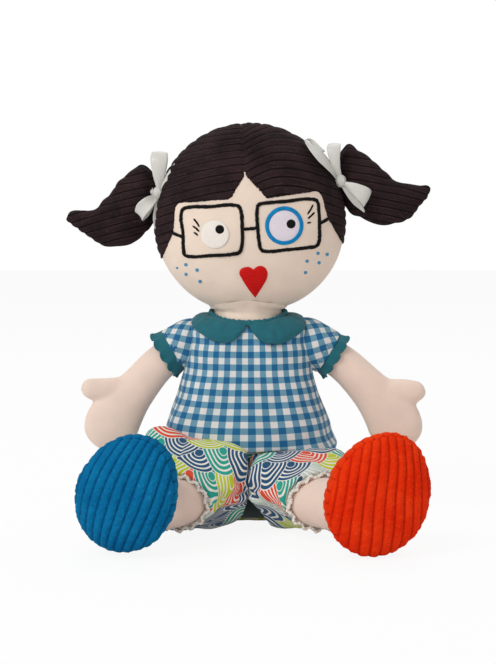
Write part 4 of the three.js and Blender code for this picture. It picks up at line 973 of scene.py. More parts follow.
stuffing = makePiece("torsoStuffing", [torsoStuffing()], skinCloth, "torso", ["torso_body"])

beans = {"halfWidth": 34, "halfDepth": 17.5, "back": 19, "low": 4, "high": 23, "unevenness": 0.6}


def beanBag():
    rise, turn = ball(30, 60)
    points = np.stack([beans["halfWidth"] * np.cos(rise) * np.cos(turn),
                       beans["halfDepth"] * np.cos(rise) * np.sin(turn) + beans["back"],
                       beans["low"] + beans["high"] * np.clip(np.sin(rise), 0, 1)], -1)
    points[..., 2] += beans["unevenness"] * softNoise(points, 9, 4) * (points[..., 2] > beans["low"] + 1)
    return surface(points, around=True)


bag = makePiece("seatBeanBag", [beanBag()], beanCanvas, "torso", ["seat_bean_bag"])
print("doll: torso made")

# Blouse: a front and two backs that hang round the torso
blouse = {"thick": 0.9, "hem": 69, "rows": 90, "sew": 0.04, "backGap": 0.004,
          "foldDepth": 1.3, "folds": [(7, 0.6, 0.5), (12, 1.9, 0.35), (4, -0.4, 0.5)],  # count, start and share
          "hang": ([58, 72, 86, 101, 118, 140, 160], [7.4, 6.0, 3.9, 1.9, 0.9, 1.8, 2.6]),  # off the torso
          "leftHang": 5.0, "frontDrop": 6.5, "thighLift": 14, "leftDrop": 5.5, "hemWave": 0.8,
          "leftSpan": (56, 72), "foldSpan": (70, 112), "puckers": 0.35, "checkLevel": 112, "checkStart": 2.5}


def blouseOff(up, turn):
    z = levelAt(up)
    left = smoothStep(np.cos(turn), 0.35, 0.9) * (1 - smoothStep(z, *blouse["leftSpan"]))
    folds = sum(share * np.sin(turn * count + start) for count, start, share in blouse["folds"])
    return (np.interp(z, *blouse["hang"]) + blouse["leftHang"] * left
            + blouse["foldDepth"] * (1 - smoothStep(z, *blouse["foldSpan"])) * folds)


def blousePanel(first, last, columns):
    turn = np.linspace(first, last, columns)[None]
    front = smoothStep(-np.sin(turn), -0.3, 0.6)
    raised = smoothStep(-np.cos(turn), 0.25, 0.95) * smoothStep(-np.sin(turn), -0.6, 0.45)  # by the right thigh
    lowered = smoothStep(np.cos(turn), 0.4, 1.0) * smoothStep(-np.sin(turn), -0.7, 0.5)
    hem = (blouse["hem"] - blouse["frontDrop"] * front + blouse["thighLift"] * raised
           - blouse["leftDrop"] * lowered + blouse["hemWave"] * np.sin(turn * 5 + 1))
    hem = (hem - torso["low"]) / (torso["high"] - torso["low"])
    up = hem + (1 - hem) * np.linspace(0, 1, blouse["rows"])[:, None]
    points = torsoPoint(up, turn, blouseOff(up, turn))
    points += normalsOf(points) * (blouse["puckers"] * softNoise(points, 26, 12))[..., None]
    # the checks run level round the chest, and straight down from there
    far = runOf(torsoPoint(0.72, turn, 3.0)[0])
    far -= np.interp(-math.pi / 2 if first < 0 else math.pi / 2, turn[0], far)
    down, level = runOf(points), levelAt(up)
    down = down - np.array([np.interp(blouse["checkLevel"], level[:, k], down[:, k]) for k in range(columns)])
    return surface(points, clothAt(far + blouse["checkStart"], down) * toCloth)


panels = [("blouseFront", -math.pi + blouse["sew"], -blouse["sew"], 170, "blouse_front"),
          ("blouseBack_left", blouse["sew"], math.pi / 2 - blouse["backGap"], 90, "blouse_back_left"),
          ("blouseBack_right", math.pi / 2 + blouse["backGap"], math.pi - blouse["sew"], 90,
           "blouse_back_right")]
for name, first, last, columns, node in panels:
    panel = blousePanel(first - blouse["sew"], last + blouse["sew"], columns)
    makePiece(name, [panel], ginghamCotton, "torso", [node],
                                   thick=blouse["thick"])
print("doll: blouse made")

# Neck, neck band and collar
neckPart = {"place": 2, "creases": 13, "creaseDepth": 0.4, "waveDepth": 0.25, "sideDrop": 5.2,
            "backRise": 3.6, "drop": 0.6,
            "profile": [(126, 6), (132, 16), (140, 23), (150, 27.2), (156, 28.6), (163, 27.6), (166, 26.6),
                        (169, 26.4), (172, 27.5), (175, 29.8), (179.6, 32.4)]}  # heights and radii


def neckForm():
    heights, radii = np.array(neckPart["profile"], float).T
    z, turn = np.linspace(heights[0], heights[-1], 60)[:, None], fullTurn(120)[None]
    creases = neckPart["creaseDepth"] * np.sin(turn * neckPart["creases"] + z * 0.15) * smoothStep(z, 158, 172)
    waves = neckPart["waveDepth"] * np.sin(z * 0.8 + turn * 2) * smoothStep(z, 156, 164)
    radius = np.interp(z, heights, radii) + creases + waves
    rim = (neckPart["sideDrop"] * np.abs(np.cos(turn)) - neckPart["backRise"] * np.clip(np.sin(turn), 0, 1)
           + neckPart["drop"])  # follows the head's underside
    tall = z - smoothStep(z, 166, 178) * rim
    points = np.stack([radius * np.cos(turn), neckPart["place"] + radius * np.sin(turn), tall], -1)
    base = np.repeat(points[:1].mean(1, keepdims=True), points.shape[1], axis=1)
    return surface(np.concatenate([base, points]), around=True)


neckPiece = makePiece("neckPost", [neckForm()], skinCloth, None, ["neck"])
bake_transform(neckPiece)

bandShape = {"halfWidth": 30.2, "halfDepth": 30.8, "high": 165, "dip": 4.6, "height": 2.6, "thick": 1.6,
             "ruffles": [(46, 0, 0.10), (29, 1, 0.08)]}  # count, start and share


def neckline(turn):  # turn 0 is the front middle, a half turn the back
    dip = bandShape["dip"] * np.clip(np.cos(turn), 0, 1) ** 1.5
    return np.stack([bandShape["halfWidth"] * np.sin(turn),
                     neckPart["place"] - bandShape["halfDepth"] * np.cos(turn), bandShape["high"] - dip], -1)


def neckBand():
    turn, ring = fullTurn(320), fullTurn(14)
    out = unit(np.stack([np.sin(turn), -np.cos(turn), 0 * turn], -1))
    ruffle = 1 + sum(share * np.sin(turn * count + start) for count, start, share in bandShape["ruffles"])
    rise = bandShape["height"] * ruffle * (1 + 0.35 * smoothStep(np.abs(np.sin(turn)), 0.6, 1))
    thick = (bandShape["thick"] * ruffle)[:, None, None] * np.cos(ring)[None, :, None]
    tall = (rise[:, None] * np.sin(ring))[..., None] * straightUp
    return surface(neckline(turn)[:, None] + out[:, None] * thick + tall, around=True, along=True)


makePiece("neckBand", [neckBand()], tealCotton, "torso", ["neck_binding"])

collar = {"size": {"right": 0.96, "left": 1.05}, "puff": 2.2, "rise": 3.4, "steepest": 74, "fan": 0.3,
          "seamDepth": 0.6, "seamInset": 2.4, "seamWidth": 0.7, "steps": 25, "out": 0.8, "sunk": 0.6,
          "firstSlope": 0.35, "bend": 0.12, "puckers": 0.35, "under": 0.25, "middleGap": 0.35,
          # degrees from the front middle, and how far the collar reaches there
          "lengths": [(1.5, 2.5), (4, 6.5), (8, 10.5), (14, 14.6), (22, 18), (32, 20.2), (45, 21.2), (58, 20.6),
                      (72, 18.4), (90, 14.5), (120, 14), (150, 15), (163, 14.5), (172, 10), (178.5, 2)]}


def blouseTop(x, y):  # height of the blouse below a point, or far down beside it
    ups = np.linspace(0.55, 1, 60)
    row = through(torsoTable[:, 0], torsoTable[:, 1:], ups)
    wide = row[:, 0] * torso["halfWidth"] + collar["rise"]
    front, back = row[:, 1] * torso["depth"] + collar["rise"], row[:, 2] * torso["depth"] + collar["rise"]
    deep = np.where(y[..., None] < 0, front, back)
    power = torso["fullness"]
    inside = (np.abs(x[..., None]) / wide) ** power + (np.abs(y[..., None]) / deep) ** power <= 1
    height = levelAt(ups) + collar["rise"] * smoothStep(ups, torso["topRound"], 1.0)
    return np.max(np.where(inside, height, -99.0), axis=-1)


def collarHalf(side, sign):
    angles, reaches = np.array(collar["lengths"], float).T
    turn = np.radians(np.linspace(angles[0], angles[-1], 150))
    length = through(np.radians(angles), reaches, turn) * collar["size"][side]
    fan = np.where(turn < 1.2, collar["fan"] * (1 - turn / 1.2), 0)
    out = unit(np.stack([np.sin(turn) + fan, -np.cos(turn)], -1))
    at = neckline(turn) + np.concatenate([out * collar["out"], 0 * turn[:, None] - collar["sunk"]], 1)
    rows, slope = [at], np.full(len(turn), collar["firstSlope"])
    pace = length / collar["steps"]
    for _ in range(collar["steps"]):  # lay the collar down, step by step, as steeply as the blouse allows
        best = np.full(len(turn), -0.2)
        for angle in np.radians(np.linspace(-8, collar["steepest"], 28)):
            x, y = (at[:, :2] + out * (pace * math.cos(angle))[:, None]).T
            best = np.where(at[:, 2] - pace * math.sin(angle) >= blouseTop(x, y), angle, best)
        slope = np.minimum(best, slope + collar["bend"])
        at = at + np.concatenate([out * (pace * np.cos(slope))[:, None], -(pace * np.sin(slope))[:, None]], 1)
        rows.append(at)
    points = np.stack(rows, 1)
    for _ in range(6):
        points[1:-1] = points[1:-1] * 0.5 + (points[:-2] + points[2:]) * 0.25
    points[..., 0] = np.maximum(points[..., 0], collar["middleGap"])
    share = np.linspace(0, 1, collar["steps"] + 1)[None]
    down = share * length[:, None]
    normal = turnedOut(normalsOf(points), straightUp)
    ends = np.minimum(turn - turn[0], turn[-1] - turn)[:, None] * 30
    inset = np.minimum(np.minimum((1 - share) * length[:, None], down + 3), ends)
    puff = (collar["puff"] * (1 - np.exp(-inset / 1.6))
            - collar["seamDepth"] * hump(inset, collar["seamInset"], collar["seamWidth"]))
    waves = 0.2 * np.sin(turn[:, None] * 9 + down * 0.5)
    puff += (collar["puckers"] * softNoise(points, 11, 8) + waves) * (inset > 1)
    puff[:, -1] = puff[:, 0] = puff[0] = puff[-1] = 0
    top = points + normal * puff[..., None]
    under = points - normal * (collar["under"] * (puff > 0))[..., None]
    cloth = clothAt(turn[:, None] * 3, down * toCloth)
    mirror = np.array([sign, 1, 1])
    return [surface(top * mirror, cloth), surface(under[:, ::-1] * mirror, cloth)]


for side, sign in sides:
    half = makePiece("collarHalf_" + side, collarHalf(side, sign), tealCotton, "torso", ["collar_" + side],
                     flip=sign < 0)
print("doll: collar made")

# Arms, sleeves and cuffs
arm = {"shoulder": (50, 0, 138), "reach": 63, "drop": 84, "forward": 15, "halfWidth": 15, "halfDepth": 12.5,
       "heldTo": 68, "pressure": 1.5, "furthest": 1.6,  # for the cloth simulation
       "palm": 5, "caps": (8, 17), "thumbCaps": (6, 7), "fullness": 2.15, "voxel": 1.7, "smoothing": 7,
       # shares of reach, drop, forward, half width and half depth, from the shoulder to the fingers
       "shares": [(0, 0, 0, .98, 1.15), (.19, .07, .07, .93, 1.12), (.35, .16, .2, .95, 1.08),
                  (.60, .37, .47, 1.07, 1.04), (.81, .56, .67, 1.34, 1.04), (.94, .74, .87, 1.44, 1.00),
                  (.99, .97, .98, 1.06, .80)],
       "further": {"right": (0, 0, 0, 0, 0, 0, 0), "left": (0, 3.2, 5.2, 7.6, 8.6, 8.6, 8.0)},
       # from the palm: out, back, up, half width and half depth of the thumb
       "thumb": {"right": [(-18, 5.5, 29, 12.5, 8), (-5, 2.6, 28.4, 11.6, 8.6), (8, 0.6, 30.0, 9.3, 8.6),
                           (17, 0, 30.6, 8.3, 7.8), (23.6, 0, 29.6, 7.0, 6.6)],
                 "left": [(-18, 5.5, 28, 12.5, 8), (-5, 2.6, 27.0, 11.6, 8.6), (7, 0.6, 28.2, 10.2, 8.8),
                          (16, 0, 28.0, 8.9, 7.8), (23.4, 0, 26.0, 6.2, 6.2)]}}


def armSkin(side, sign):
    x, y, z = arm["shoulder"]
    stations = [(sign * (x + out * arm["reach"] + further), y - forward * arm["forward"],
                 z - down * arm["drop"], wide * arm["halfWidth"], thick * arm["halfDepth"])
                for (out, down, forward, wide, thick), further in zip(arm["shares"], arm["further"][side])]
    grid, _ = stuffedTube(stations, (0, 1, 0), 60, 60, *arm["caps"], arm["fullness"])
    palm = np.array(stations[arm["palm"]][:3])
    route = [(*(palm + np.array([sign * out, back, up])), wide, thick)
             for out, back, up, wide, thick in arm["thumb"][side]]
    thumb, _ = stuffedTube(route, (0, 1, 0), 16, 32, *arm["thumbCaps"])
    forms = [surface(grid, around=True), surface(thumb, around=True)]
    return blended(forms, arm["voxel"], arm["smoothing"], "arm")


sleeve = {"length": {-1: 9.8, 1: 14.0}, "drop": 31, "radius": 20.4, "hemRadius": 17.6,
          "cuff": {-1: 9.8, 1: 8.8}, "scallops": 11, "scallopDepth": 2.4, "overlap": 1.2,
          "puffDepth": 0.9, "hemWave": 0.45, "flatness": 0.35, "bias": 0.707, "thick": 0.8, "cuffThick": 1.1,
          "up": {-1: 21.3, 1: 22.4}, "down": (17.4, 14.2)}  # down: at the shoulder and at the hem


def roundSleeve(sign, far, turn, middle, wide, high):  # a ring round the arm's axis, or a row of them
    drop = math.radians(sleeve["drop"])
    along = np.array([sign * math.cos(drop), 0, -math.sin(drop)])
    forward = np.array([0, 1.0, 0])
    up = np.cross(along, forward) * sign
    x, y, z = arm["shoulder"]
    return (np.array([sign * x, y, z]) + far[..., None] * along + middle * up
            + wide[..., None] * np.cos(turn)[None, :, None] * forward
            + high[..., None] * np.sin(turn)[None, :, None] * up)


def sleeveGrid(sign):
    turn, length = fullTurn(140), sleeve["length"][sign]
    far = np.linspace(-sleeve["radius"] * 0.96, length, 46)[:, None]
    narrowing = sleeve["radius"] + (sleeve["hemRadius"] - sleeve["radius"]) * smoothStep(far, 0, length)
    radius = np.where(far < 0, np.sqrt(np.maximum(sleeve["radius"] ** 2 - far ** 2, 0)), narrowing)
    # the sleeve stands higher above the arm than it hangs below
    level = np.where(far < 0, radius / sleeve["radius"], 1.0)
    atShoulder, atHem = sleeve["down"]
    low = (atShoulder + (atHem - atShoulder) * smoothStep(far, 0, length)) * level
    high = sleeve["up"][sign] * level ** sleeve["flatness"]
    puff = sleeve["puffDepth"] * hump(far, 4, 6) * (np.sin(turn * 7 + 1.3) * 0.5 + np.sin(turn * 11) * 0.4)
    extra = puff * (far > -12) + sleeve["hemWave"] * smoothStep(far, 8, 14) * np.sin(turn * 5 + 2)
    points = roundSleeve(sign, far, turn, ((high - low) / 2)[..., None], radius + extra,
                         (high + low) / 2 + extra)
    u, v = np.broadcast_arrays(np.linspace(0, 2 * math.pi, 141)[None] * 19, far)
    return points, np.stack([u + v, v - u], -1) * (toCloth * sleeve["bias"])  # the checks lie aslant


def cuffGrid(sign):
    turn, share = fullTurn(264), np.linspace(0, 1, 18)[:, None]
    wave = np.abs(np.sin(turn * sleeve["scallops"] / 2))
    reach = sleeve["cuff"][sign] + sleeve["overlap"] - sleeve["scallopDepth"] * (1 - wave) ** 1.2
    far = sleeve["length"][sign] - sleeve["overlap"] + share * reach
    ripple = share ** 2 * (np.sin(turn * sleeve["scallops"] + 0.5) + 0.5)
    extra = -0.9 + 1.2 * share + ripple + 0.5 * hump(share, 0.97, 0.05)
    high, low = sleeve["up"][sign], sleeve["down"][1]
    points = roundSleeve(sign, far, turn, (high - low) / 2, sleeve["hemRadius"] + extra,
                         (high + low) / 2 + extra)
    return points, clothAt(np.linspace(0, 11, 265)[None], share)


def topStitches(ring, dash=3.52, share=0.6):  # short stitches in a ring
    line, length = alongPath(np.concatenate([ring, ring[:1]]), 900)
    count = max(2, int(length / dash))
    parts = []
    for k in range(count):
        start, end = int(k / count * 899), int((k + share) / count * 899)
        if end - start >= 2:
            parts.append(tube(line[start:end + 1:max(1, (end - start) // 3)], 0.28, 5))
    return parts


for side, sign in sides:
    body = side + "_arm"
    mesh = armSkin(side, sign)
    mesh = puffUp(mesh, arm["pressure"], arm["furthest"],
                  lambda points: np.abs(points[:, 0]) < arm["heldTo"])
    limb = dress("armSkin_" + side, mesh, shadedLimbCloth, body, ["arm_" + side])
    grid, cloth = sleeveGrid(sign)
    puffed = makePiece("sleevePuff_" + side, [surface(grid, cloth, around=True)], ginghamCotton, body,
                       ["sleeve_" + side], thick=sleeve["thick"], flip=sign < 0)
    makePiece("sleeveStitches_" + side, topStitches(grid[-7]), seamThread, body)
    grid, cloth = cuffGrid(sign)
    cuff = makePiece("cuffFrill_" + side, [surface(grid, cloth, around=True)], tealCotton, body,
                     ["cuff_" + side], thick=sleeve["cuffThick"])
print("doll: arms made")

# Shorts: a seat round the torso and two gathered legs
shorts = {"hip": (38, -34, 35), "radius": 33.5, "length": 46, "splay": 24, "waist": 0.56, "thick": 0.9,
          "floor": 0.15, "foldDepth": 1.5, "opening": {-1: 8, 1: 20}, "openHeight": 29, "flatterLeft": 7.0,
          "bulge": {-1: (19, 11, 16), 1: (9, 8, 24)},  # how high and wide the thigh's cloth swells, and where
          "bulgeLength": 17, "innerLift": 9.0, "middleGap": 0.4, "lowest": 0.9, "hemTurn": 1.6,
          "seatOff": 2.3, "seatDent": 1.6, "seatFolds": 0.5, "waistDraw": 1.5, "gathers": 40, "gatherDepth": 0.3,
          "crotch": 34, "fanSpread": 26, "puckers": 0.4,
          # how square the leg is above and below its inner side, and on its outer side
          "square": {"base": 2.0, "above": 3.4, "below": 0.9, "outer": 2.1},
          "hem": {"x": 54.6, "z": 29.2, "wide": 28.0, "high": 20.4},
          # along the leg: inner edge, half width outwards, top and bottom heights
          "rows": [(0, 0.4, 33.5, 68, 1), (6, 0.4, 33.0, 68.5, 1), (14, 1.4, 32.4, 68.5, 3),
                   (24, 8.0, 31.6, 66, 5), (35, 17.5, 30.5, 60, 6.5), (46, 25.0, 29.6, 53.5, 7.5)]}


def hipAt(sign):
    x, y, z = shorts["hip"]
    return np.array([sign * x, y, z], float)


def legAxes(sign):  # along the leg, and sideways away from the middle
    splay = math.radians(shorts["splay"])
    way = np.array([sign * math.sin(splay), -math.cos(splay), 0])
    return way, np.array([way[1], -way[0], 0]) * -sign


def shortsSeatGrid():
    turn, up = fullTurn(240)[None], np.linspace(0, shorts["waist"], 90)[:, None]
    fromFront = np.abs(np.mod(turn + 1.5 * math.pi, 2 * math.pi) - math.pi)
    off = (shorts["seatOff"] - shorts["seatDent"] * hump(fromFront, 0, 0.05) * smoothStep(up, 0.5, 0.2)
           + shorts["seatFolds"] * np.sin(turn * 9 + up * 8) * smoothStep(up, 0.1, 0.3)
           - shorts["waistDraw"] * smoothStep(up, 0.40, 0.48))
    gather = shorts["gatherDepth"] * smoothStep(up, 0.46, 0.53) * np.sin(turn * shorts["gathers"])
    grid = torsoPoint(up, turn, off + gather)
    grid[0, :, 2] = shorts["floor"]
    base = grid[:1].mean(1, keepdims=True)
    rings = [base + (grid[:1] - base) * share for share in (0.0, 0.3, 0.6, 0.85)]
    grid = np.concatenate(rings + [grid])
    down = runOf(grid[:, 0])[:, None]
    return surface(grid, clothAt(np.linspace(0, 36, 241)[None], down * toCloth + 0.3), around=True)


crotchShadowSheet = {"reach": 0.5, "top": 0.2, "off": 3.4, "thick": 0.5}  # turn to each side, and share of the torso


def crotchShadowGrid():  # a plain dark sheet between the legs: painted shade where the seat lies in shadow
    turn = -math.pi / 2 + np.linspace(-crotchShadowSheet["reach"], crotchShadowSheet["reach"], 60)[None]
    return surface(torsoPoint(np.linspace(0.0, crotchShadowSheet["top"], 24)[:, None], turn, crotchShadowSheet["off"]))


elastic = {"low": 0.515, "high": 0.548, "off": 0.9, "thick": 0.8, "gathers": 70, "gatherDepth": 0.25}


def elasticGrid():
    turn, up = fullTurn(300)[None], np.linspace(elastic["low"], elastic["high"], 7)[:, None]
    off = elastic["off"] + elastic["gatherDepth"] * np.sin(turn * elastic["gathers"])
    return surface(torsoPoint(up, turn, off), around=True)


seat = makePiece("shortsSeat", [shortsSeatGrid()], printedCotton, "torso", ["shorts_seat"],
                 thick=shorts["thick"])
# a dark sheet of painted shade on the seat between the legs
crotchShadow = makePiece("shortsCrotchShadow", [crotchShadowGrid()], crotchShadowCotton, "torso",
                   thick=crotchShadowSheet["thick"])
band = makePiece("waistElasticBand", [elasticGrid()], waistElastic, "torso", ["waist_elastic"],
                 thick=elastic["thick"])
print("doll: seat of the shorts made")


def hemRing(sign, turn, grow=0.0, far=0.0):  # a ring at the leg's opening
    way, side = legAxes(sign)
    hem = shorts["hem"]
    centre = np.array([sign * hem["x"], shorts["hip"][1] + way[1] * shorts["length"], hem["z"]])
    wide, high = np.asarray(grow + hem["wide"]), np.asarray(grow + hem["high"])
    return (centre + way * np.asarray(far)[..., None] + side * (wide * np.cos(turn))[..., None]
            + straightUp * (high * np.sin(turn))[..., None])


def thighForm(sign, far, turn):  # the leg of the shorts without its folds, and the middle of each row
    hip, (way, side) = hipAt(sign), legAxes(sign)
    table = np.array(shorts["rows"], float)
    row = through(table[:, 0], table[:, 1:], np.maximum(far, 0))
    if sign > 0:
        row[:, 2] -= shorts["flatterLeft"] * (1 - smoothStep(far, 20, 46))
    inner, outer, high, low = [column[:, None] for column in row.T]
    dome = np.where(far < 0, np.sqrt(np.clip(1 - (far / shorts["radius"]) ** 2, 0, 1)), 1)[:, None]
    c, s, t = np.cos(turn)[None], np.sin(turn)[None], far[:, None]
    axis = hip + t * way
    centre = (high + low) / 2
    corner = shorts["square"]
    square = corner["base"] + np.where(s > 0, corner["above"], corner["below"]) * (1 - smoothStep(t, 6, 36))
    power = 2 / np.where(c < 0, square, corner["outer"])
    inward = (axis[:, :1] * sign - inner) / (side[0] * sign) * dome
    reach = np.where(c < 0, inward, outer * dome) * signedPower(c, power)
    rise = (high - low) / 2 * dome * signedPower(s, power)
    highSwell, wideSwell, place = shorts["bulge"][sign]
    swell = hump(t, place, shorts["bulgeLength"])
    reach = reach + wideSwell * swell * hump(turn, 0.6, 0.6)
    rise = rise + highSwell * swell * hump(turn, 0.8, 0.6)
    level = np.where(t < 0, 0, centre - hip[2])
    points = axis[:, None] + reach[..., None] * side + straightUp * (rise + level)[..., None]
    return points, axis[:, None] + straightUp * (centre - hip[2])[..., None]


def shortsLegGrid(sign):
    turn = fullTurn(220)
    start = -shorts["radius"] * np.cos(np.linspace(0.05, math.pi / 2, 24))
    far = np.concatenate([start, np.linspace(0, shorts["length"], 80)[1:]])
    plain, middle = thighForm(sign, far, turn)
    c, s, t = np.cos(turn)[None], np.sin(turn)[None], far[:, None]
    lift = smoothStep(-c, 0.1, 0.8) * smoothStep(-s, 0.0, 0.7) * smoothStep(t, -4, 20)
    lift = shorts["innerLift"] * lift * (1 - 0.7 * smoothStep(t, 30, 46))
    points = plain + straightUp * lift[..., None]
    out = unit(points - middle)
    free = smoothStep(t, -6, 10) * (1 - 0.5 * smoothStep(t, 36, 46))
    # folds fan out from the crotch and run round the thigh
    dx, dz = points[..., 0] * sign, points[..., 2] - shorts["crotch"]
    near = hump(np.hypot(dx, dz * 0.8), 0, shorts["fanSpread"])
    fan = near * np.sin(np.arctan2(dz, dx + 2) * 6.5 + 0.9 * sign)
    folds = (0.5 * np.sin(turn * 4 + t * 0.07 + sign) + 0.3 * np.sin(turn * 9 - t * 0.1 + 1.7 * sign)
             + 0.25 * np.sin(t * 0.33 + c * 2.2) + fan)
    puckers = shorts["puckers"] * softNoise(points, 15, 33)
    points = points + out * (free * (shorts["foldDepth"] * folds + puckers))[..., None]
    points[..., 0] = sign * squeezed(points[..., 0] * sign, shorts["middleGap"], 0.02)
    points[..., 2] = squeezed(points[..., 2], shorts["lowest"], 0.02)
    # the opening under the crotch reaches further into the left thigh
    inset = np.clip(points[..., 0] * sign / shorts["opening"][sign], 0, 1)
    points[..., 2] = squeezed(points[..., 2], shorts["openHeight"] * (1 - inset ** 1.3), 0.12)
    # the hem turns in to the lace
    way, ring, rim = legAxes(sign)[0], hemRing(sign, turn), points[-1]
    turned = np.stack([rim + (ring - rim) * q + way * shorts["hemTurn"] * math.sin(q * math.pi)
                       for q in np.linspace(0, 1, 8)[1:]])
    flat = np.concatenate([plain, turned])
    flat = np.concatenate([flat, flat[:, :1]], 1)
    along, around = runOf(flat), runOf(flat, 1)
    along -= along[24:25]
    around -= around[:, 55:56]
    cloth = np.stack([around * toCloth + 3.1 * sign, along * toCloth], -1)
    return surface(np.concatenate([points, turned]), cloth, around=True)


lace = {"waves": 14, "width": 5.6, "flare": 1.2, "waveDepth": 1.3, "lowest": 1.4, "knots": 63, "knotSize": 1.15,
        "inset": 0.8, "edgeWave": 0.5, "cordWave": 0.6,
        "cords": ((0.6, 5.6, 1.4), (-1.0, 2.6, 0.6), (-0.4, 0.4, 0.3))}  # outwards, along the leg, wave depth


def laceRing(sign):
    # narrow gathered frill with rolled, knotted cords
    turn, share = fullTurn(420), np.linspace(0, 1, 9)[:, None]
    wave = np.sin(turn * lace["waves"] + 1.2 * np.sin(turn * 3))[None]
    ripple = np.sin(turn * lace["waves"] * 2)[None]

    def ring(grow, far):
        points = hemRing(sign, turn[None], grow, far)
        points[..., 2] = np.maximum(points[..., 2], lace["lowest"])
        return points

    frill = ring(-lace["inset"] + share * (lace["flare"] + lace["waveDepth"] * wave),
                 share * (lace["width"] + lace["edgeWave"] * ripple))
    parts = [surface(frill, clothAt(np.linspace(0, 16, 421)[None], share * 0.6), around=True)]
    knots = lace["knotSize"] * (1 + 0.3 * np.sin(turn * lace["knots"]) * (1 + 0.3 * np.sin(turn * 5)))
    for grow, far, size in lace["cords"]:
        cord = ring(grow + size * wave, far + lace["cordWave"] * ripple)[0]
        parts.append(tube(cord, knots, 8, True, up=legAxes(sign)[0]))
    return parts


leg = {"reach": 104, "halfWidth": 21.0, "height": 35, "inset": 16 / 3, "unevenness": 0.35,
       "caps": (14, 10), "voxel": 2.0, "smoothing": 3,
       "creases": ((52, 7, 0.6), (96, 8, 0.8)), "creaseDepth": 0.02,  # place, width and share
       # shares of reach, height, half width and half thickness
       "shares": [(0, 1.0, 1.15, 1.15), (.3, .84, 1.26, 1.0), (.46, .84, 1.25, .92), (.62, .87, 1.06, .90),
                  (.85, .93, .90, .89), (1, 1.0, .88, .88)]}


def legSkin(sign):
    hip, way = hipAt(sign), legAxes(sign)[0]
    stations = []
    for out, up, wide, thick in leg["shares"]:
        x, y, _ = hip + way * out * leg["reach"]
        stations.append((x - sign * leg["inset"] * (wide - thick), y, up * leg["height"],
                         wide * leg["halfWidth"], thick * leg["halfWidth"]))
    grid, at = stuffedTube(stations, (0, 0, 1), 70, 90, *leg["caps"])
    pinch = sum(share * hump(at, place, width) for place, width, share in leg["creases"])
    creases = (grid - grid.mean(1, keepdims=True)) * (leg["creaseDepth"] * pinch)[:, None, None]
    grid = grid - creases + leg["unevenness"] * softNoise(grid, 22, 15)[..., None] * straightUp
    return blended([surface(grid, around=True)], leg["voxel"], leg["smoothing"], "leg")


# Feet: fat corduroy slippers, sole to the front
foot = {"turn": 12, "soleReach": 127, "front": 17, "back": 29, "ribHeight": 1.7, "lowest": 0.5,
        "seam": 1.32, "seamDepth": 1.2, "seamWidth": 0.03, "sideWales": 32, "taper": 0.07, "waleSpan": 45,
        "pile": [(0.28, 4.5, 21), (0.2, 2.2, 23), (0.4, 30, 22)],  # height, size and draw of each unevenness
        "right": {"tilt": 24, "shift": -1.5, "rise": 3.0, "halfWidth": 37.0, "halfLength": 44.6, "waleTurn": 2,
                  "fan": -0.02, "pinch": 0.34},
        "left": {"tilt": 21, "shift": 9.0, "rise": 0.4, "halfWidth": 38.4, "halfLength": 46.0, "waleTurn": 16,
                 "fan": 0.16, "pinch": 0.10}}


def footGrid(side, sign):
    own = foot[side]
    tilt, turned, spin = [math.radians(angle) for angle in (own["tilt"], foot["turn"], own["waleTurn"])]
    forward = np.array([sign * math.sin(turned), -math.cos(turned), 0])
    across = unit(np.cross(forward, (math.sin(tilt), 0, math.cos(tilt))))
    up = unit(np.cross(across, forward))
    high = math.hypot(own["halfLength"] * math.cos(tilt), own["halfWidth"] * math.sin(tilt))
    x, y, _ = hipAt(sign)
    sole = np.array([x + own["shift"], y, high + foot["lowest"] + own["rise"]])
    sole = sole + legAxes(sign)[0] * foot["soleReach"]
    middle = sole - forward * foot["front"]
    rise = np.concatenate([np.linspace(0.0, 1.55, 120), np.linspace(1.55, math.pi, 70)[1:]])[:, None]
    turn = fullTurn(280)[None]
    ahead = rise < math.pi / 2
    slim = np.sin(rise) ** np.where(ahead, 0.80, 0.62)
    deep = np.where(ahead, foot["front"] * np.abs(np.cos(rise)) ** 0.9, foot["back"] * np.cos(rise))
    a, b = own["halfWidth"] * slim * np.cos(turn), own["halfLength"] * slim * np.sin(turn)
    a = a * (1 - foot["taper"] * b / own["halfLength"])
    points = middle + a[..., None] * across + b[..., None] * up + (deep + 0 * turn)[..., None] * forward
    # the sole's wales fan out, and the upper's run round the foot
    wide, long = a * math.cos(spin) - b * math.sin(spin), a * math.sin(spin) + b * math.cos(spin)
    far = long / foot["waleSpan"]
    sideways = wide * (1 + own["fan"] * far + own["pinch"] * far ** 2) * (1 + 0.08 * (wide / 38) ** 2)
    sideways = sideways + 2.0 * far ** 2 + 0.5 * softNoise(points, 40, 31)
    onSole = rise < foot["seam"]
    wale = np.where(onSole, sideways, turn / (2 * math.pi) * foot["sideWales"] * wales["foot"])
    normal = turnedOut(normalsOf(points, around=True), points - middle)
    lift = foot["ribHeight"] * np.where(onSole, 1, 0.5) * (ribs(wale, wales["foot"], 0.85) - 0.75)
    lift = lift - foot["seamDepth"] * hump(rise, foot["seam"], foot["seamWidth"])
    lift = lift + sum(height * softNoise(points, size, draw) for height, size, draw in foot["pile"])
    points = points + normal * lift[..., None]
    points[..., 2] = squeezed(points[..., 2], foot["lowest"], 0.05)
    return surface(points, closedCloth(np.stack([b, wale], -1) * toCloth), around=True)


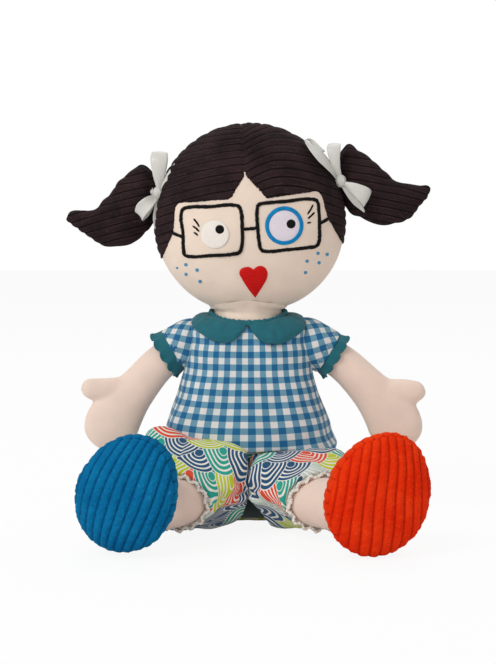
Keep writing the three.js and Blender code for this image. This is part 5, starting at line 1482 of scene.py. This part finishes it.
slippers = {"right": (blueCorduroy, "blue_corduroy"), "left": (orangeCorduroy, "orange_corduroy")}
for side, sign in sides:
    body = side + "_leg"
    limb = dress("legSkin_" + side, legSkin(sign), shadedLimbCloth, body, ["leg_" + side])
    trouser = makePiece("shortsLeg_" + side, [shortsLegGrid(sign)], printedCotton, body, ["shorts_leg_" + side],
                        thick=shorts["thick"])
    frill = makePiece("laceFrill_" + side, laceRing(sign), laceCotton, body, ["lace_frill_" + side])
    pile, slot = slippers[side]
    slipper = makePiece("slipper_" + side, [footGrid(side, sign)], pile, body, ["foot_" + side])
print("doll: legs and feet made")

# Floor, pale room and lamps
stage = {"floor": 6.0, "glow": 0.9, "world": 0.53,
         # place, aim, size and power
         "lamps": {"keyLamp": ((-1.2, -1.2, 1.5), (0, 0, 0.15), 0.9, 18.0),
                   "fillLamp": ((-0.3, -1.8, 0.3), (0, 0, 0.15), 1.2, 3.2),
                   "topLamp": ((0.2, 0.6, 1.5), (0, 0, 0.2), 1.0, 6.0)}}


def seenDirectly(tree):  # 1 for rays from the camera, from mirrors and through clear things
    rays = tree.nodes.new("ShaderNodeLightPath")
    seen = rays.outputs["Is Camera Ray"]
    for kind in ("Is Glossy Ray", "Is Transmission Ray"):
        either = tree.nodes.new("ShaderNodeMath")
        either.operation = "MAXIMUM"
        tree.links.new(seen, either.inputs[0])
        tree.links.new(rays.outputs[kind], either.inputs[1])
        seen = either.outputs[0]
    return seen


def paleFloor():
    made = Finish("paleFloor", colours["floor"], 0.9)
    tree = made.tree
    glow = tree.nodes.new("ShaderNodeEmission")
    glow.inputs[0].default_value, glow.inputs[1].default_value = (1, 1, 1, 1), 1.0
    mix = tree.nodes.new("ShaderNodeMixShader")
    tree.links.new(made.calc("MULTIPLY", seenDirectly(tree), stage["glow"]), mix.inputs[0])
    tree.links.new(made.shader.outputs[0], mix.inputs[1])
    tree.links.new(glow.outputs[0], mix.inputs[2])
    tree.links.new(mix.outputs[0], tree.nodes["Material Output"].inputs[0])
    return made.material


floorMesh = bpy.data.meshes.new("floor")
half = stage["floor"] / 2
floorMesh.from_pydata([(-half, -half, 0), (half, -half, 0), (half, half, 0), (-half, half, 0)], [],
                      [(0, 1, 2, 3)])
floorMesh.materials.append(paleFloor())
addObject("floor", floorMesh)

world = bpy.data.worlds.new("paleRoom")
bpy.context.scene.world = world
world.use_nodes = True
sky = world.node_tree
level = sky.nodes.new("ShaderNodeMapRange")
level.inputs["To Min"].default_value, level.inputs["To Max"].default_value = stage["world"], 1.0
sky.links.new(seenDirectly(sky), level.inputs["Value"])
sky.nodes["Background"].inputs[0].default_value = (1, 1, 1, 1)
sky.links.new(level.outputs[0], sky.nodes["Background"].inputs[1])

for name, (place, aim, size, power) in stage["lamps"].items():
    lamp = addObject(name, bpy.data.lights.new(name, "AREA"))
    lamp.data.size, lamp.data.energy = size, power
    lamp.location = place
    way = np.array(aim, float) - np.array(place, float)
    yaw, pitch = math.atan2(way[1], way[0]), math.atan2(way[2], math.hypot(way[0], way[1]))
    lamp.rotation_euler = (math.pi / 2 + pitch, 0, yaw - math.pi / 2)
bpy.context.scene.view_settings.view_transform = "Standard"
print("doll: stage and lamps set")
